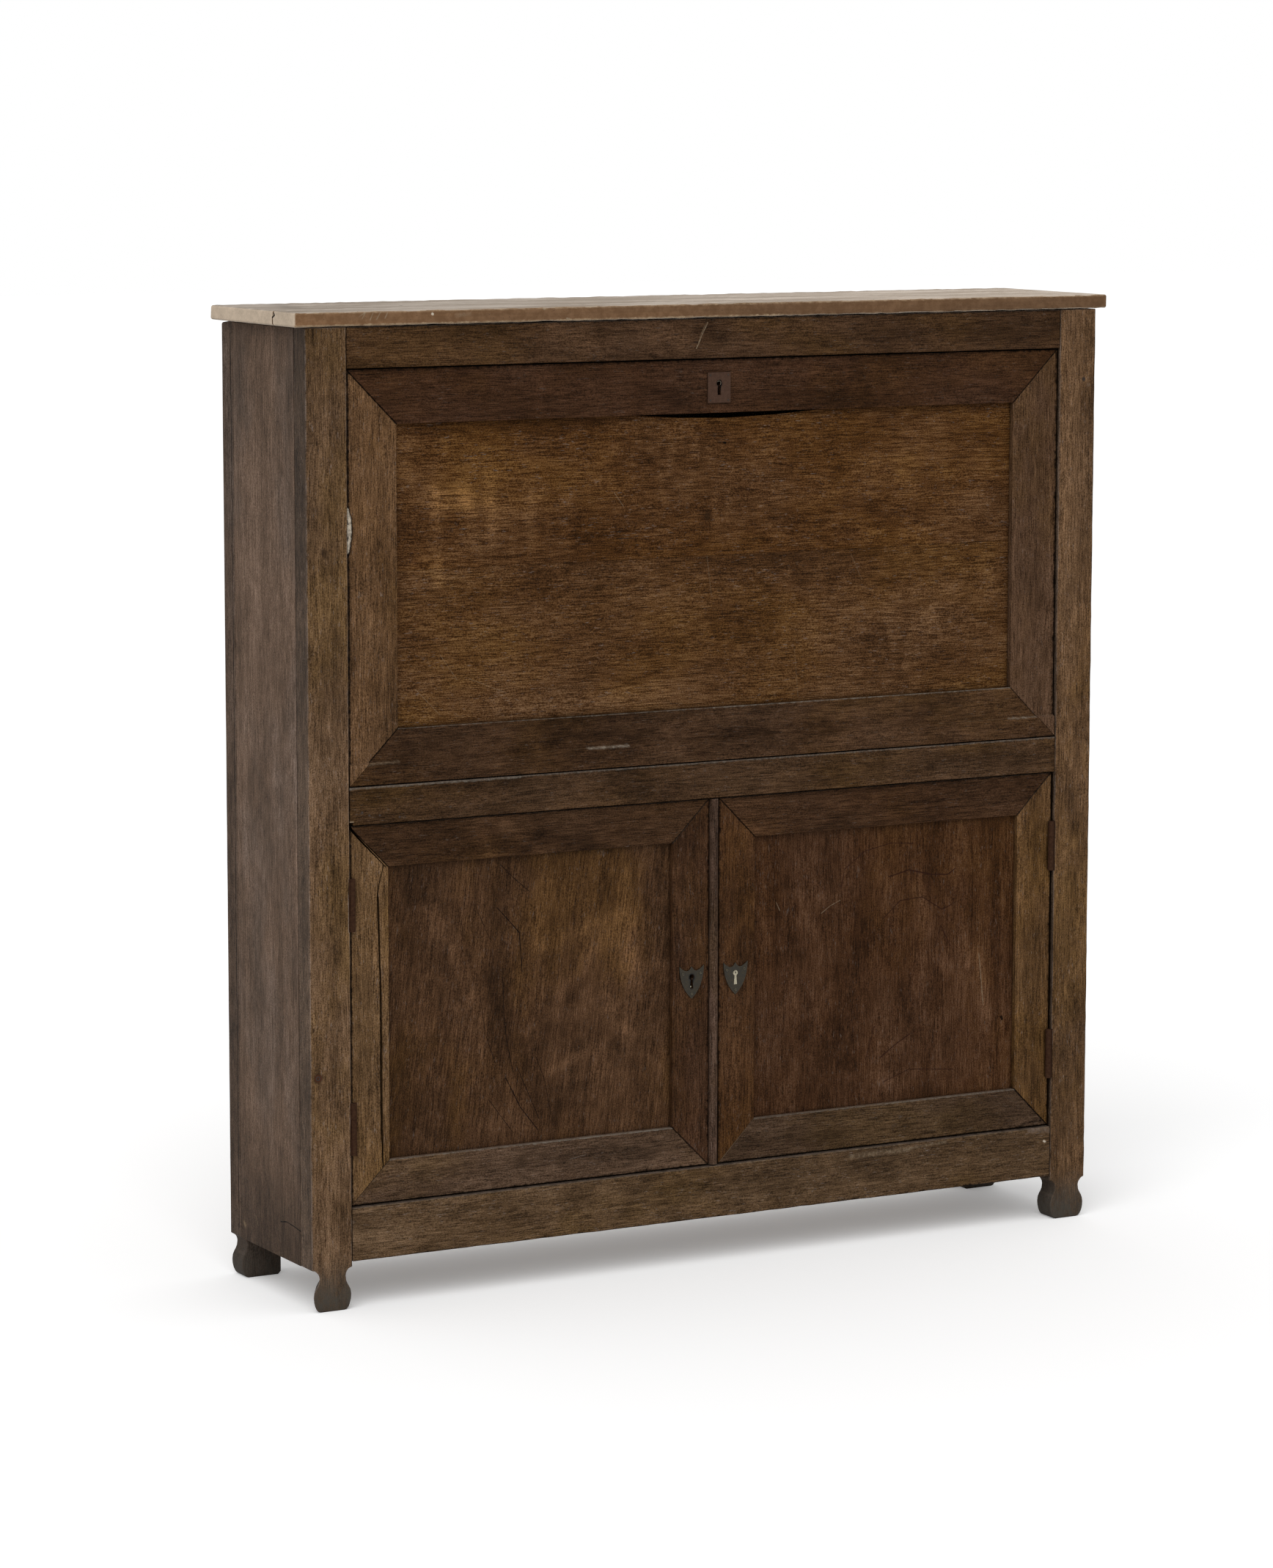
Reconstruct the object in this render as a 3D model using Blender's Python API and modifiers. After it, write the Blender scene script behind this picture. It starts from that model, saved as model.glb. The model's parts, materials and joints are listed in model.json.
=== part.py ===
"""A fall-front writing cabinet in oak, with two panelled doors below the flap.

Units are metres. X runs to the right, Y to the back and Z up. The floor is Z = 0
and the origin lies under the middle of the cabinet. Front parts are placed by their
depth behind the front face of the posts.
"""

import math
from dataclasses import dataclass

import bmesh
import bpy
from mathutils import Matrix, Vector
from mathutils.geometry import interpolate_bezier

# Clearances and edges
JOINT_GAP = 0.0003
WELD = 0.00003
RUN_GAP = 0.0016
TOE_GAP = 0.0006
OVERRUN = 0.004
ARRIS = 0.0010
TOP_ARRIS = 0.0022
SHARP_ANGLE = math.radians(40)

# Carcase
CARCASE_WIDTH = 1.220
CARCASE_DEPTH = 0.260
CARCASE_TOP = 1.296
TOP_THICKNESS = 0.020
TOP_SIDE_OVERHANG = 0.0165
TOP_FRONT_OVERHANG = 0.004
POST_WIDTH = 0.059
POST_DEPTH = 0.035
SIDE_THICKNESS = 0.020
TONGUE_THICKNESS = 0.007
TONGUE_LENGTH = 0.007
BACK_THICKNESS = 0.014
BACK_BOARDS = 3
BACK_BOTTOM = 0.070
SIDE_BELOW_RAIL = 0.0065
POST_TOP_FALL = (0.032, 0.003)
POST_TOP_ROUNDING = 0.006

# Feet, cut on the lower ends of the posts
FOOT_NECK_INSET = 0.0093
FOOT_NECK_HEIGHT = 0.046
FOOT_BULGE_INSET = 0.0015
FOOT_BULGE_HEIGHT = 0.021
FOOT_TOE_ROUNDING = 0.011
FOOT_TAPER = math.radians(29)
FOOT_INNER_ROUNDING = 0.004
FOOT_CURVE_STEPS = 5
HANDLE_SHARE = 0.5

# Rails between the posts
RAIL_DEPTH = 0.028
BOTTOM_RAIL_LOW = 0.0635
BOTTOM_RAIL_HEIGHT = 0.0725
MIDDLE_RAIL_LOW = 0.646
MIDDLE_RAIL_HEIGHT = 0.050
TOP_RAIL_HEIGHT = 0.054
REBATE_LIP = 0.014
LIP_THICKNESS = 0.015
TENON_LENGTH = 0.025
TENON_THICKNESS = 0.009
TENON_SHOULDER = 0.009

# Fall flap
FLAP_SETBACK = 0.005
FLAP_THICKNESS = 0.026
FLAP_FRAME = 0.072
FLAP_BAND_HEIGHT = 0.030
FLAP_BAND_SLOPE = 0.003
FLAP_PANEL_SETBACK = 0.009
FLAP_PANEL_THICKNESS = 0.010
FLAP_PANEL_JOINT_SHARE = 0.512
FLAP_PIN_SETBACK = 0.007
FLAP_PIN_RADIUS = 0.0035
FLAP_PIN_IN_POST = 0.020
FLAP_PIN_IN_FLAP = 0.040
HEEL_STEPS = 8
SHRINK_DEPTH = 0.008
SHRINK_CENTRE = 0.023
SHRINK_HALF_WIDTH = 0.300
SHRINK_STEPS = 9

# Doors
DOOR_SETBACK = 0.006
DOOR_THICKNESS = 0.022
DOOR_FRAME = 0.057
DOOR_PANEL_SETBACK = 0.008
DOOR_PANEL_THICKNESS = 0.008
GROOVE_DEPTH = 0.008
PANEL_EASE = 0.0007
BEAD_WIDTH = 0.0135
BEAD_STEPS = 8

# Butt hinges of the doors
HINGE_HEIGHT = 0.070
HINGE_INSET = 0.104
KNUCKLE_RADIUS = 0.004
MOVING_KNUCKLE = 0.026
LEAF_THICKNESS = 0.0015
LEAF_DEPTH = 0.0235
HINGE_PIN_RADIUS = 0.0016
WEB_THICKNESS = 0.002
ROUND_STEPS = 16

# Boards inside
BED_THICKNESS = 0.018
FLOOR_THICKNESS = 0.018
FLOOR_BELOW_RAIL = 0.002
CUPBOARD_SHELF_RISE = 0.258
CUPBOARD_SHELF_FRONT = 0.050
DESK_SHELF_SHARE = 0.66
DESK_SHELF_FRONT = 0.068
SHELF_THICKNESS = 0.015
DIVIDER_THICKNESS = 0.012
DIVIDERS = 2
DIVIDER_SCOOP = 0.030
HOUSING_DEPTH = 0.005

# Quadrant stays that carry the open flap
STAY_RADIUS_SHARE = 0.69
STAY_WIDTH = 0.012
STAY_THICKNESS = 0.004
STAY_INSET = 0.014
STAY_STOP_WIDTH = 0.018
STAY_STOP_LENGTH = 0.010
STAY_STEPS = 24
STAY_FOOT = (0.018, 0.003, 0.056)
STAY_SLOT_EASE = 0.0015
KEEPER_THICKNESS = 0.004
KEEPER_MARGIN = 0.009
KEEPER_REACH = 0.028
KEEPER_EASE = 0.0004
FLAP_OPEN = math.radians(90)

# Locks, bolts and their plates
PLATE_THICKNESS = 0.0015
FLAP_PLATE = (0.035, 0.041)
FLAP_LOCK_X = 0.005
FLAP_KEYHOLE_BELOW_TOP = 0.032
FLAP_CASE = (0.056, 0.012, 0.054)
FLAP_BOLT = (0.024, 0.005, 0.026)
DOOR_KEYHOLE_RISE = 0.010
DOOR_LOCK_X = 0.0345
DOOR_CASE = (0.044, 0.011, 0.060)
DOOR_BOLT = (0.0315, 0.005, 0.016)
BOLT_EASE = 0.0004
BOLT_SETBACK = 0.0005
BOLT_THROW = 0.009
DOOR_BOLT_THROW = 0.0095
KEY_POCKET = 0.003
SHIELD = (0.038, 0.045)
SHIELD_CUSP_SHARE = 0.98
SHIELD_SCOOP_SHARE = 0.80
SHIELD_SCOOP_PLACE_SHARE = 0.25
SHIELD_FLANK_SHARES = ((0.475, 0.74), (0.455, 0.34))
SHIELD_KEYHOLE_SHARE = 0.66
SHIELD_STEPS = 8
KEYHOLE_RADIUS = 0.0040
KEYHOLE_SLOT = 0.0162
KEYHOLE_WAIST = 0.0032
KEYHOLE_FLARE = 0.0054
KEYHOLE_STEPS = 10
TOWER_X = 0.040
TOWER_GUIDE = (0.022, 0.010, 0.054)
TOWER_BOLT = (0.0094, 0.0054, 0.086)
TOWER_KNOB = (0.0094, 0.016, 0.008)
TOWER_THROW = 0.012
TOWER_TOP_GAP = 0.002
TOWER_GUIDE_DROP = 0.009

# Finishes: colour, roughness, metallic
FRONT_OAK = ((0.085, 0.046, 0.024), 0.55, 0.0)
DOOR_OAK = ((0.100, 0.045, 0.024), 0.50, 0.0)
FLAP_OAK = ((0.125, 0.062, 0.026), 0.45, 0.0)
SIDE_OAK = ((0.135, 0.098, 0.075), 0.70, 0.0)
TOP_PINE = ((0.46, 0.36, 0.25), 0.75, 0.0)
INNER_PINE = ((0.30, 0.19, 0.10), 0.80, 0.0)
IRON = ((0.12, 0.07, 0.045), 0.60, 0.8)
BRONZE = ((0.10, 0.11, 0.08), 0.45, 0.9)
COPPER_BROWN = ((0.20, 0.11, 0.07), 0.50, 0.7)

# Planes worked out from the sizes above
FRONT = TOP_FRONT_OVERHANG - (CARCASE_DEPTH + TOP_FRONT_OVERHANG) / 2
BACK = FRONT + CARCASE_DEPTH
OUTER = CARCASE_WIDTH / 2
POST_FACE = OUTER - POST_WIDTH
POST_REAR = FRONT + POST_DEPTH
BACK_POST_FRONT = BACK - POST_DEPTH
SIDE_INNER = OUTER - SIDE_THICKNESS
BACK_INNER = BACK - BACK_THICKNESS

BOTTOM_RAIL_HIGH = BOTTOM_RAIL_LOW + BOTTOM_RAIL_HEIGHT
MIDDLE_RAIL_HIGH = MIDDLE_RAIL_LOW + MIDDLE_RAIL_HEIGHT
TOP_RAIL_LOW = CARCASE_TOP - TOP_RAIL_HEIGHT
SIDE_BOTTOM = BOTTOM_RAIL_LOW - SIDE_BELOW_RAIL
FOOT_HEIGHT = SIDE_BOTTOM
FLOOR_TOP = BOTTOM_RAIL_HIGH - FLOOR_BELOW_RAIL
CUPBOARD_SHELF_TOP = FLOOR_TOP + CUPBOARD_SHELF_RISE
STAY_RADIUS = CARCASE_DEPTH * STAY_RADIUS_SHARE

HEEL_RADIUS = FLAP_SETBACK + FLAP_THICKNESS - FLAP_PIN_SETBACK
TOE_RADIUS = math.hypot(FLAP_PIN_SETBACK, HEEL_RADIUS)
FLAP_LOW = MIDDLE_RAIL_HIGH + TOE_RADIUS - HEEL_RADIUS + TOE_GAP
FLAP_HIGH = TOP_RAIL_LOW - RUN_GAP
FLAP_HALF = POST_FACE - RUN_GAP
FLAP_PANEL_JOINT = FLAP_LOW + (FLAP_HIGH - FLAP_LOW) * FLAP_PANEL_JOINT_SHARE
FLAP_INNER_FACE = FRONT + FLAP_SETBACK + FLAP_THICKNESS
FLAP_AXIS = Vector((0, FRONT + FLAP_PIN_SETBACK, FLAP_LOW + HEEL_RADIUS))
SHOULDER = FLAP_INNER_FACE + JOINT_GAP
BED_TOP = FLAP_LOW + 2 * HEEL_RADIUS
BED_LOW = BED_TOP - BED_THICKNESS
DESK_SHELF_TOP = BED_TOP + (TOP_RAIL_LOW - BED_TOP) * DESK_SHELF_SHARE

DOOR_LOW = BOTTOM_RAIL_HIGH + RUN_GAP
DOOR_HIGH = MIDDLE_RAIL_LOW - RUN_GAP
DOOR_FACE = FRONT + DOOR_SETBACK
DOOR_REAR = DOOR_FACE + DOOR_THICKNESS
DOOR_OUTER = POST_FACE - RUN_GAP
DOOR_KEYHOLE_HEIGHT = (DOOR_LOW + DOOR_HIGH) / 2 + DOOR_KEYHOLE_RISE
BEAD_LEFT = -BEAD_WIDTH / 2
BEAD_RIGHT = BEAD_WIDTH / 2
RIGHT_DOOR_EDGE = BEAD_RIGHT + RUN_GAP
DOOR_LIP = DOOR_HIGH - REBATE_LIP
HINGE_AXIS_X = POST_FACE - KNUCKLE_RADIUS - JOINT_GAP
HINGE_AXIS_Y = DOOR_FACE - KNUCKLE_RADIUS - JOINT_GAP

PARTS = bpy.data.collections.new("fall_front_cabinet")
CUTTERS = bpy.data.collections.new("cutters")

# Turns that stand a flat outline up along an axis
STANDING = {
    "X": Matrix(((0, 0, 1), (1, 0, 0), (0, 1, 0))).to_4x4(),
    "Y": Matrix(((1, 0, 0), (0, 0, -1), (0, 1, 0))).to_4x4(),
    "Z": Matrix.Identity(4),
}
ALONG = {"X": Vector((1, 0, 0)), "Y": Vector((0, 1, 0)), "Z": Vector((0, 0, 1))}


def clear_scene():
    for item in list(bpy.data.objects):
        bpy.data.objects.remove(item, do_unlink=True)
    bpy.context.scene.collection.children.link(PARTS)
    bpy.context.scene.collection.children.link(CUTTERS)


def finish(item, look):
    colour, roughness, metallic = look
    material = bpy.data.materials.new(item.name + "_finish")
    material.use_nodes = True
    shader = material.node_tree.nodes["Principled BSDF"]
    shader.inputs["Base Color"].default_value = (*colour, 1)
    shader.inputs["Roughness"].default_value = roughness
    shader.inputs["Metallic"].default_value = metallic
    item.data.materials.clear()
    item.data.materials.append(material)
    return item


def box(name, low, high):
    """A box between two corners, with its origin in the middle."""
    low, high = Vector(low), Vector(high)
    shape = bmesh.new()
    bmesh.ops.create_cube(shape, size=1)
    bmesh.ops.scale(shape, vec=high - low, verts=shape.verts)
    mesh = bpy.data.meshes.new(name)
    shape.to_mesh(mesh)
    shape.free()
    item = bpy.data.objects.new(name, mesh)
    item.location = (low + high) / 2
    PARTS.objects.link(item)
    return item


def cylinder(name, radius, low, high, centre, along="Z"):
    """A round bar between two planes square to an axis."""
    shape = bmesh.new()
    bmesh.ops.create_cone(shape, cap_ends=True, segments=ROUND_STEPS, radius1=radius,
                          radius2=radius, depth=high - low)
    mesh = bpy.data.meshes.new(name)
    shape.to_mesh(mesh)
    shape.free()
    mesh.shade_smooth()
    mesh.set_sharp_from_angle(angle=SHARP_ANGLE)
    item = bpy.data.objects.new(name, mesh)
    item.matrix_world = Matrix.Translation(Vector(centre) + ALONG[along] * (low + high) / 2) @ STANDING[along]
    PARTS.objects.link(item)
    return item


def evaluated_mesh(item):
    bpy.context.view_layer.update()
    depsgraph = bpy.context.evaluated_depsgraph_get()
    return bpy.data.meshes.new_from_object(item.evaluated_get(depsgraph))


def flat_solid(name, outline, low, high, along):
    """A closed outline extruded between two planes square to an axis.

    The outline is (Y, Z) along X, (X, Z) along Y and (X, Y) along Z.
    """
    curve = bpy.data.curves.new(name, "CURVE")
    curve.dimensions = "2D"
    curve.fill_mode = "BOTH"
    curve.extrude = (high - low) / 2
    spline = curve.splines.new("POLY")
    spline.points.add(len(outline) - 1)
    for point, (u, v) in zip(spline.points, outline):
        point.co = (u, v, 0, 1)
    spline.use_cyclic_u = True
    guide = bpy.data.objects.new(name, curve)
    PARTS.objects.link(guide)
    guide.matrix_world = Matrix.Translation(ALONG[along] * (low + high) / 2) @ STANDING[along]
    mesh = evaluated_mesh(guide)
    shape = bmesh.new()
    shape.from_mesh(mesh)
    bmesh.ops.remove_doubles(shape, verts=shape.verts, dist=WELD)
    bmesh.ops.recalc_face_normals(shape, faces=shape.faces)
    shape.to_mesh(mesh)
    shape.free()
    mesh.shade_smooth()
    mesh.set_sharp_from_angle(angle=SHARP_ANGLE)
    place = guide.matrix_world.copy()
    bpy.data.objects.remove(guide)
    bpy.data.curves.remove(curve)
    item = bpy.data.objects.new(name, mesh)
    item.matrix_world = place
    PARTS.objects.link(item)
    return item


def soften(item, width=ARRIS):
    edge = item.modifiers.new("arris", "BEVEL")
    edge.width = width
    edge.segments = 1
    edge.limit_method = "ANGLE"
    edge.angle_limit = SHARP_ANGLE
    return item


def guide_only(item, pivot=None):
    """Put a cutter or a joined shape out of the model and into the guides."""
    PARTS.objects.unlink(item)
    CUTTERS.objects.link(item)
    item.data.shade_flat()
    item.hide_render = True
    item.display_type = "WIRE"
    hang(item, pivot)
    return item


def guide_box(name, low, high, pivot=None):
    return guide_only(box(name, low, high), pivot)


def combine(item, tool, operation):
    step = item.modifiers.new(tool.name, "BOOLEAN")
    step.operation = operation
    step.solver = "EXACT"
    step.object = tool


def cut(item, *tools):
    for tool in tools:
        combine(item, tool, "DIFFERENCE")
    return item


def join(item, *tools):
    for tool in tools:
        combine(item, tool, "UNION")
    return item


def hang(item, pivot):
    """Parent a piece to the empty on its joint's axis, without moving it."""
    if pivot is None:
        return item
    bpy.context.view_layer.update()
    item.parent = pivot
    item.matrix_parent_inverse = pivot.matrix_world.inverted()
    return item


def axis_empty(name, place, parent=None):
    empty = bpy.data.objects.new(name, None)
    empty.location = place
    PARTS.objects.link(empty)
    return hang(empty, parent)


def bend(start, start_handle, end_handle, end, steps):
    """Points of a cubic curve, without its first point."""
    points = interpolate_bezier(Vector(start), Vector(start_handle), Vector(end_handle), Vector(end), steps + 1)
    return [tuple(point) for point in points[1:]]


def arc(centre, radius, start, end, steps):
    """Points of an arc, from the angle start to the angle end, both included."""
    turns = [start + (end - start) * step / steps for step in range(steps + 1)]
    return [(centre[0] + radius * math.cos(turn), centre[1] + radius * math.sin(turn)) for turn in turns]


def side_name(side):
    return "left" if side < 0 else "right"


def even_shading():
    """Let the large faces of softened pieces keep their own shading."""
    for item in PARTS.objects:
        if any(step.type == "BEVEL" for step in item.modifiers):
            item.data.shade_smooth()
            item.modifiers.new("even_shading", "WEIGHTED_NORMAL").keep_sharp = True


# Carcase

def foot_edge():
    """The shaped edge of a foot, as (inset from the post's side, height), going down."""
    neck_drop = (FOOT_HEIGHT - FOOT_NECK_HEIGHT) * HANDLE_SHARE
    swell_drop = (FOOT_NECK_HEIGHT - FOOT_BULGE_HEIGHT) * HANDLE_SHARE
    toe_drop = FOOT_BULGE_HEIGHT * HANDLE_SHARE
    toe_run = FOOT_TOE_ROUNDING * HANDLE_SHARE
    top = (0, FOOT_HEIGHT)
    neck = (FOOT_NECK_INSET, FOOT_NECK_HEIGHT)
    bulge = (FOOT_BULGE_INSET, FOOT_BULGE_HEIGHT)
    toe = (FOOT_TOE_ROUNDING, 0)
    edge = [top]
    edge += bend(top, (FOOT_NECK_INSET * HANDLE_SHARE, FOOT_HEIGHT), (neck[0], neck[1] + neck_drop), neck,
                 FOOT_CURVE_STEPS)
    edge += bend(neck, (neck[0], neck[1] - swell_drop), (bulge[0], bulge[1] + swell_drop), bulge, FOOT_CURVE_STEPS)
    edge += bend(bulge, (bulge[0], bulge[1] - toe_drop), (toe[0] - toe_run, 0), toe, FOOT_CURVE_STEPS)
    return edge


def post(name, side, low, high, inner_edge, look):
    """A corner post that ends in a foot shaped on its outer edge, and in front on both."""
    outer_edge = [(0, CARCASE_TOP)] + foot_edge()
    outline = [(side * (OUTER - inset), height) for inset, height in outer_edge]
    outline += [(side * (OUTER - POST_WIDTH + inset), height) for inset, height in reversed(inner_edge)]
    outline.append((side * POST_FACE, CARCASE_TOP))
    return soften(finish(flat_solid(name, outline, low, high, "Y"), look))


def foot_taper(side):
    """A cutter that carries the shaped outer edge of a front foot inwards as it runs back."""
    near, far = -OVERRUN, 2 * POST_DEPTH
    outline = [(-side * inset, height) for inset, height in foot_edge()]
    outline += [(-side * FOOT_TOE_ROUNDING, -OVERRUN), (side * POST_WIDTH, -OVERRUN), (side * POST_WIDTH, FOOT_HEIGHT)]
    item = flat_solid(f"foot_taper_{side_name(side)}", outline, near, far, "Y")
    arris = Matrix.Translation((side * OUTER, FRONT, 0))
    item.matrix_world = arris @ Matrix.Rotation(side * FOOT_TAPER, 4, "Z") @ item.matrix_world
    return guide_only(item)


def post_top_cutter():
    """A cutter that lets the tops of the back posts fall away to a rounded corner."""
    run, fall = POST_TOP_FALL
    radius = POST_TOP_ROUNDING
    beyond = BACK + OVERRUN
    outline = [(BACK - run, CARCASE_TOP)]
    outline += arc((BACK - radius, CARCASE_TOP - fall - radius), radius, math.pi / 2, 0, FOOT_CURVE_STEPS)
    outline += [(beyond, CARCASE_TOP - fall - radius), (beyond, CARCASE_TOP + OVERRUN),
                (BACK - run - OVERRUN, CARCASE_TOP + OVERRUN)]
    return guide_only(flat_solid("post_tops", outline, -OUTER - OVERRUN, OUTER + OVERRUN, "X"))


def tenon(rail_name, side, low, high):
    """A tenon on a rail's end, and the mortise that it fills."""
    middle = FRONT + RAIL_DEPTH / 2
    inner = POST_FACE - JOINT_GAP - OVERRUN
    tip = POST_FACE + TENON_LENGTH
    sizes = []
    for ease in (0, JOINT_GAP):
        near, far = sorted((side * inner, side * (tip + ease)))
        half = TENON_THICKNESS / 2 + ease
        sizes.append(((near, middle - half, low + TENON_SHOULDER - ease),
                      (far, middle + half, high - TENON_SHOULDER + ease)))
    label = f"{rail_name}_{side_name(side)}"
    return guide_box(label + "_tenon", *sizes[0]), guide_box(label + "_mortise", *sizes[1])


def rail(name, outline, low, high, posts):
    """A rail between the front posts, tenoned into both."""
    end = POST_FACE - JOINT_GAP
    piece = soften(finish(flat_solid(name, outline, -end, end, "X"), FRONT_OAK))
    for side in (-1, 1):
        peg, mortise = tenon(name, side, low, high)
        join(piece, peg)
        cut(posts[side], mortise)
    return piece


def side_panel(side, posts_here):
    """A side board with a tongue in each post, and the grooves for the tongues."""
    name = f"side_panel_{side_name(side)}"
    centre = side * (OUTER - SIDE_THICKNESS / 2)
    left, right = sorted((side * SIDE_INNER, side * OUTER))
    front, rear = POST_REAR + JOINT_GAP, BACK_POST_FRONT - JOINT_GAP
    panel = finish(box(name, (left, front, SIDE_BOTTOM), (right, rear, CARCASE_TOP)), SIDE_OAK)
    half = TONGUE_THICKNESS / 2
    for label, post_here, tip, root in (("front", posts_here[0], front - TONGUE_LENGTH, front + OVERRUN),
                                        ("back", posts_here[1], rear + TONGUE_LENGTH, rear - OVERRUN)):
        near, far = sorted((tip, root))
        tongue = guide_box(f"{name}_{label}_tongue", (centre - half, near, SIDE_BOTTOM + JOINT_GAP),
                           (centre + half, far, CARCASE_TOP - JOINT_GAP))
        groove = guide_box(f"{name}_{label}_groove", (centre - half - JOINT_GAP, near - JOINT_GAP, SIDE_BOTTOM),
                           (centre + half + JOINT_GAP, far + JOINT_GAP, CARCASE_TOP + OVERRUN))
        join(panel, tongue)
        cut(post_here, groove)
    return panel


def inner_board(name, low, high, front, panels):
    """A level board housed in both sides and notched round the posts."""
    half = SIDE_INNER + HOUSING_DEPTH
    rear = BACK_INNER - JOINT_GAP
    board = finish(box(name, (-half, front, low), (half, rear, high)), INNER_PINE)
    for side, panel in panels.items():
        label = f"{name}_{side_name(side)}"
        left, right = sorted((side * (SIDE_INNER - OVERRUN), side * (half + JOINT_GAP)))
        cut(panel, guide_box(label + "_housing", (left, POST_REAR - OVERRUN, low - JOINT_GAP),
                             (right, BACK_POST_FRONT + OVERRUN, high + JOINT_GAP)))
        left, right = sorted((side * (POST_FACE - JOINT_GAP), side * (half + OVERRUN)))
        for place, near, far in (("front", FRONT, POST_REAR + JOINT_GAP),
                                 ("back", BACK_POST_FRONT - JOINT_GAP, BACK)):
            if far > front:
                cut(board, guide_box(f"{label}_{place}_notch", (left, near, low - OVERRUN),
                                     (right, far, high + OVERRUN)))
    return board


def back_boards():
    """Upright boards that close the back between the back posts."""
    span = 2 * (POST_FACE - JOINT_GAP)
    pitch = (span + JOINT_GAP) / BACK_BOARDS
    for index in range(BACK_BOARDS):
        left = -span / 2 + index * pitch
        board = box(f"back_board_{index + 1}", (left, BACK_INNER, BACK_BOTTOM),
                    (left + pitch - JOINT_GAP, BACK, CARCASE_TOP - JOINT_GAP))
        soften(finish(board, INNER_PINE))


def dividers():
    """Upright boards between the desk shelf and the top, with a hollow front edge."""
    low = DESK_SHELF_TOP + JOINT_GAP
    high = CARCASE_TOP - JOINT_GAP
    front = FRONT + DESK_SHELF_FRONT
    rear = BACK_INNER - JOINT_GAP
    hollow = bend((front, high), (front + DIVIDER_SCOOP, high), (front + DIVIDER_SCOOP, low), (front, low),
                  FOOT_CURVE_STEPS * 2)
    outline = [(rear, low), (rear, high), (front, high)] + hollow
    pitch = 2 * SIDE_INNER / (DIVIDERS + 1)
    for index in range(DIVIDERS):
        x = (index + 1) * pitch - SIDE_INNER
        finish(flat_solid(f"desk_divider_{index + 1}", outline, x - DIVIDER_THICKNESS / 2,
                          x + DIVIDER_THICKNESS / 2, "X"), INNER_PINE)


def top_rail_outline():
    rear = SHOULDER + LIP_THICKNESS
    lip = FLAP_HIGH - REBATE_LIP
    high = CARCASE_TOP - JOINT_GAP
    return [(FRONT, TOP_RAIL_LOW), (FRONT, high), (rear, high), (rear, lip), (SHOULDER, lip),
            (SHOULDER, TOP_RAIL_LOW)]


def middle_rail_outline():
    rear = SHOULDER + LIP_THICKNESS
    door_stop = DOOR_REAR + JOINT_GAP
    return [(FRONT, MIDDLE_RAIL_LOW), (FRONT, MIDDLE_RAIL_HIGH), (SHOULDER, MIDDLE_RAIL_HIGH),
            (SHOULDER, BED_LOW - JOINT_GAP), (rear, BED_LOW - JOINT_GAP), (rear, DOOR_LIP),
            (door_stop, DOOR_LIP), (door_stop, MIDDLE_RAIL_LOW)]


def bottom_rail_outline():
    rear = FRONT + RAIL_DEPTH
    return [(FRONT, BOTTOM_RAIL_LOW), (FRONT, BOTTOM_RAIL_HIGH), (rear, BOTTOM_RAIL_HIGH), (rear, BOTTOM_RAIL_LOW)]


# Frames and panels

@dataclass
class Leaf:
    """The outer limits of a framed leaf, and how its panel sits in it."""
    name: str
    left: float
    right: float
    low: float
    high: float
    front: float
    rear: float
    frame: float
    panel_front: float
    panel_rear: float
    pivot: object


def mitre_wedges(leaf):
    """Outlines, in X and Z, that part the frame along its four mitres."""
    shift = JOINT_GAP / math.sqrt(2)
    beyond = OVERRUN + shift
    reach = leaf.frame + OVERRUN
    inner = reach - shift
    left, right, low, high = leaf.left, leaf.right, leaf.low, leaf.high
    return {
        "top_rail": [(left - OVERRUN, high + beyond), (right + OVERRUN, high + beyond),
                     (right - reach, high - inner), (left + reach, high - inner)],
        "bottom_rail": [(left - OVERRUN, low - beyond), (right + OVERRUN, low - beyond),
                        (right - reach, low + inner), (left + reach, low + inner)],
        "left_stile": [(left - beyond, low - OVERRUN), (left - beyond, high + OVERRUN),
                       (left + inner, high - reach), (left + inner, low + reach)],
        "right_stile": [(right + beyond, low - OVERRUN), (right + beyond, high + OVERRUN),
                        (right - inner, high - reach), (right - inner, low + reach)],
    }


def mitred_frame(leaf, section, look):
    """Four mitred members cut from one section, grooved inside for the panel."""
    edge = leaf.frame
    near, far = leaf.front - 2 * OVERRUN, leaf.rear + OVERRUN
    opening = guide_box(f"{leaf.name}_opening", (leaf.left + edge, near, leaf.low + edge),
                        (leaf.right - edge, far, leaf.high - edge), leaf.pivot)
    edge -= GROOVE_DEPTH
    groove = guide_box(f"{leaf.name}_groove", (leaf.left + edge, leaf.panel_front - JOINT_GAP, leaf.low + edge),
                       (leaf.right - edge, leaf.panel_rear + JOINT_GAP, leaf.high - edge), leaf.pivot)
    members = {}
    for member, outline in mitre_wedges(leaf).items():
        name = f"{leaf.name}_{member}"
        wedge = guide_only(flat_solid(name + "_mitre", outline, near, far, "Y"), leaf.pivot)
        piece = soften(finish(flat_solid(name, section, leaf.left, leaf.right, "X"), look))
        hang(piece, leaf.pivot)
        combine(piece, wedge, "INTERSECT")
        cut(piece, opening, groove)
        members[member] = piece
    return members


def panel_board(leaf, look, name="panel", low=None, high=None, top_edge=None):
    """A board held in the frame's groove; top_edge replaces its straight upper edge."""
    edge = leaf.frame - GROOVE_DEPTH + PANEL_EASE
    left, right = leaf.left + edge, leaf.right - edge
    low = low or leaf.low + edge
    high = high or leaf.high - edge
    outline = [(left, low), (left, high)] + (top_edge or []) + [(right, high), (right, low)]
    board = flat_solid(f"{leaf.name}_{name}", outline, leaf.panel_front, leaf.panel_rear, "Y")
    return hang(finish(board, look), leaf.pivot)


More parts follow.
